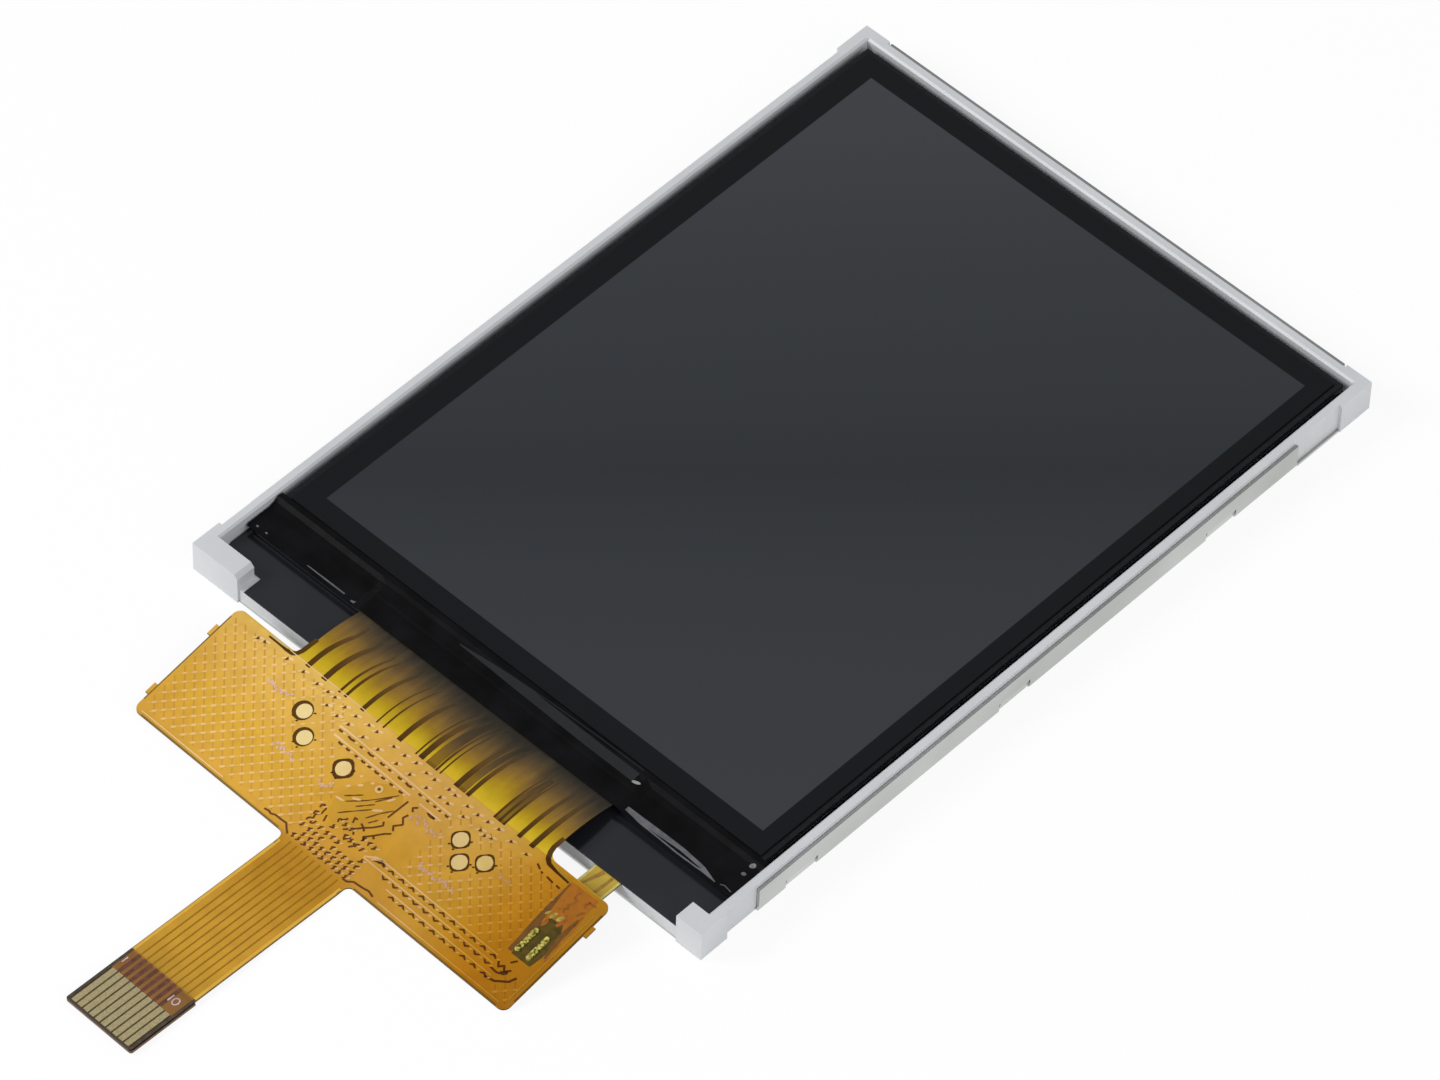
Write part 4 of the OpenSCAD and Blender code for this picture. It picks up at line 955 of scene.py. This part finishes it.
laid_piece("tab_edge_shade", [
    strip([(13.02, -32.3), (13.12, -34.0), (13.25, -35.3),
           (13.34, -36.6), (13.33, -37.7)],
          [0.1, 0.22, 0.42, 0.5, 0.46, 0.3]),
    strip([(15.08, -33.7), (15.1, -35.3), (15.2, -36.1),
           (15.35, -36.8)], [0.1, 0.34, 0.34, 0.15])],
    tab_edge_shade, lift=0.005)
CROOKS = [
    [(14.01, -32.31), (13.88, -32.48), (13.85, -32.82), (14.13, -32.86),
     (14.08, -33.21), (13.91, -33.41), (14.08, -33.58), (13.92, -33.75),
     (14.05, -33.94)],
    [(14.7, -32.46), (14.87, -32.52), (14.7, -32.73), (14.87, -32.96)],
    [(14.72, -32.48), (15.07, -32.49), (15.3, -32.47)],
    [(14.81, -33.63), (14.88, -33.37), (15.08, -33.13)],
    [(13.6, -33.9), (13.77, -33.97)], [(14.27, -34.03), (14.44, -33.93)]]
laid_piece("tab_crooks", [strip(line, [0.1, 0.18, 0.12], 0.1) for line in CROOKS],
           tab_crook, lift=0.006)

# %% [markdown]
# The tab is soldered through two slots of the flex. The solder's colour jumps in small
# spots from dark olive to bright yellow, and those spots are painted glints. Round the
# solder lies olive flux, and beside it small patches of copper are wetted by flux and
# look red or gold.

# %% Solder and flux
# The solder's bright spots are painted glints.
solder_glints = film_finish("solder under flux, painted glints", "#4E4A08", "#F0E070", 0.16, 0.2,
                            0.25)
red_copper = film_finish("copper under flux", "#98500F", "#A8601A", 0.4, 0.25)
flux_gold = film_finish("flux-wetted copper", "#A08A36", "#C8B45A", 0.3, 0.25, 0.1)
laid_piece("copper_patches", [
    strip([(13.63, -35.4), (13.69, -34.85)], [0.1, 0.32, 0.2]),
    strip([(14.34, -34.85), (14.57, -34.1)], [0.15, 0.34, 0.1]),
    strip([(15.45, -36.9), (15.68, -36.4)], [0.1, 0.24, 0.1])],
    red_copper, lift=0.0075)
laid_piece("flux_spots", [
    strip([(13.26, -34.69), (13.42, -34.32)], [0.1, 0.2, 0.1]),
    strip([(13.65, -34.68), (13.83, -34.19)], [0.14, 0.32, 0.12]),
    strip([(14.1, -34.59), (14.31, -34.14)], [0.14, 0.34, 0.14])],
    flux_gold, lift=0.009)

# %% [markdown]
# Between the frame and the flex the tab lies open: two copper tracks run down it, inside
# a clear border. It isn't turned with the flex, so it has a surface of its own.

# %% Open part of the tab
laid_piece("tab_tracks", [
    strip([(13.02, -32.0), (13.36, -30.05)], [0.14, 0.3]),
    strip([(14.1, -32.0), (14.06, -30.05)], [0.24, 0.18])],
    film_finish("copper tracks in the tab", "#94702A", "#A88236", 0.4, 0.3),
    lift=0.01, surface=on_tab)
laid_piece("tab_rims", [
    strip([(12.82, -32.0), (12.67, -30.05)], 0.14),
    strip([(14.72, -32.0), (14.57, -30.05)], 0.14)],
    film_finish("clear edge of the tab", "#CFC66A", "#DAD282", 0.4, 0.3),
    lift=0.01, surface=on_tab)

# %% [markdown]
# Where the cover tape was pressed over the edge of the glass and the end of the chip, it
# catches the light in thin glints, and a few small spots near its ends do too: these are
# painted highlights, thin shapes of their own, placed in part coordinates because the
# tape isn't turned with the flex. The tape's flat top over the chip is a shade lighter, a
# painted reflection, and the end of the chip under it has a painted highlight.

# %% Painted glints on the cover tape
# Painted glints, a painted reflection and a painted highlight on the cover tape.
glint_tape = film_finish("tape, painted glints", "#5A5A5E", "#6E6E72", 0.6, 0.35)
tape_reflection = film_finish("tape over the chip, painted reflection", "#191A1D", "#1E2023", 1.5, 0.34)
tape_highlight = film_finish("tape corner, painted highlight", "#8C8C86", "#A6A69E", 0.3, 0.4)
glint_shapes = [
    strip([(11.2, -26.02), (12.7, -26.1), (14.3, -26.1), (16.0, -26.13),
           (17.7, -26.18), (18.9, -26.37)], [0.3, 0.5, 0.55, 0.6, 0.45, 0.05]),
    strip([(19.24, -26.29), (19.49, -26.17), (20.1, -26.26)], 0.06),
    strip([(-15.49, -26.15), (-14.0, -26.15), (-12.27, -26.15)],
          [0.05, 0.12, 0.1]),
    strip([(-11.65, -26.26), (-10.8, -26.12)], [0.1, 0.25, 0.1]),
    spot((19.71, -24.75), (0.17, 0.13), 0.3, 10),
    spot((19.76, -24.03), (0.22, 0.14), 0.5, 10),
    spot((-19.83, -26.09), (0.1, 0.08)), spot((-19.05, -26.1), (0.1, 0.07))]
laid_piece("tape_glint_shapes", glint_shapes, glint_tape, 0.012, on_tape_side)
laid_piece("tape_over_chip", [
    strip([(-4.4, -24.2), (-2, -24.1), (3, -24.02),
           (10.3, -23.98)], [0.1, 0.5, 0.8, 1.0, 1.05])],
    tape_reflection, 0.008, on_tape)
laid_piece("tape_chip_corner", [spot((10.55, -24.42), (0.3, 0.12), 0.35, 12)],
           tape_highlight, 0.03, on_tape)

# %% [markdown]
# Last, every CAD piece takes its finish. Its mesh is left as it is.

# %% Finishes of the CAD pieces
finishes.update({
    "back_tray": rolled_steel, "frame": white_pc, "rim_tape": under_black,
    "prism_sheet_lower": prism_film, "prism_sheet_upper": prism_film,
    **{"led_%d" % k: led_housing for k in (1, 2, 3, 4)}, "led_flex": tab_film,
    "tft_glass": plate_glass, "color_filter_glass": plate_glass,
    "front_polarizer": anti_glare, "ledge_cover_tape": cover_black,
    "main_flex": flex_film, "test_pads": pad_gold, "tab_solder": solder_glints})
for node, finish in finishes.items():
    material_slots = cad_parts[node].data.materials
    material_slots.clear()
    material_slots.append(finish)
print("pieces without a finish:", sorted(set(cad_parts) - set(finishes)))
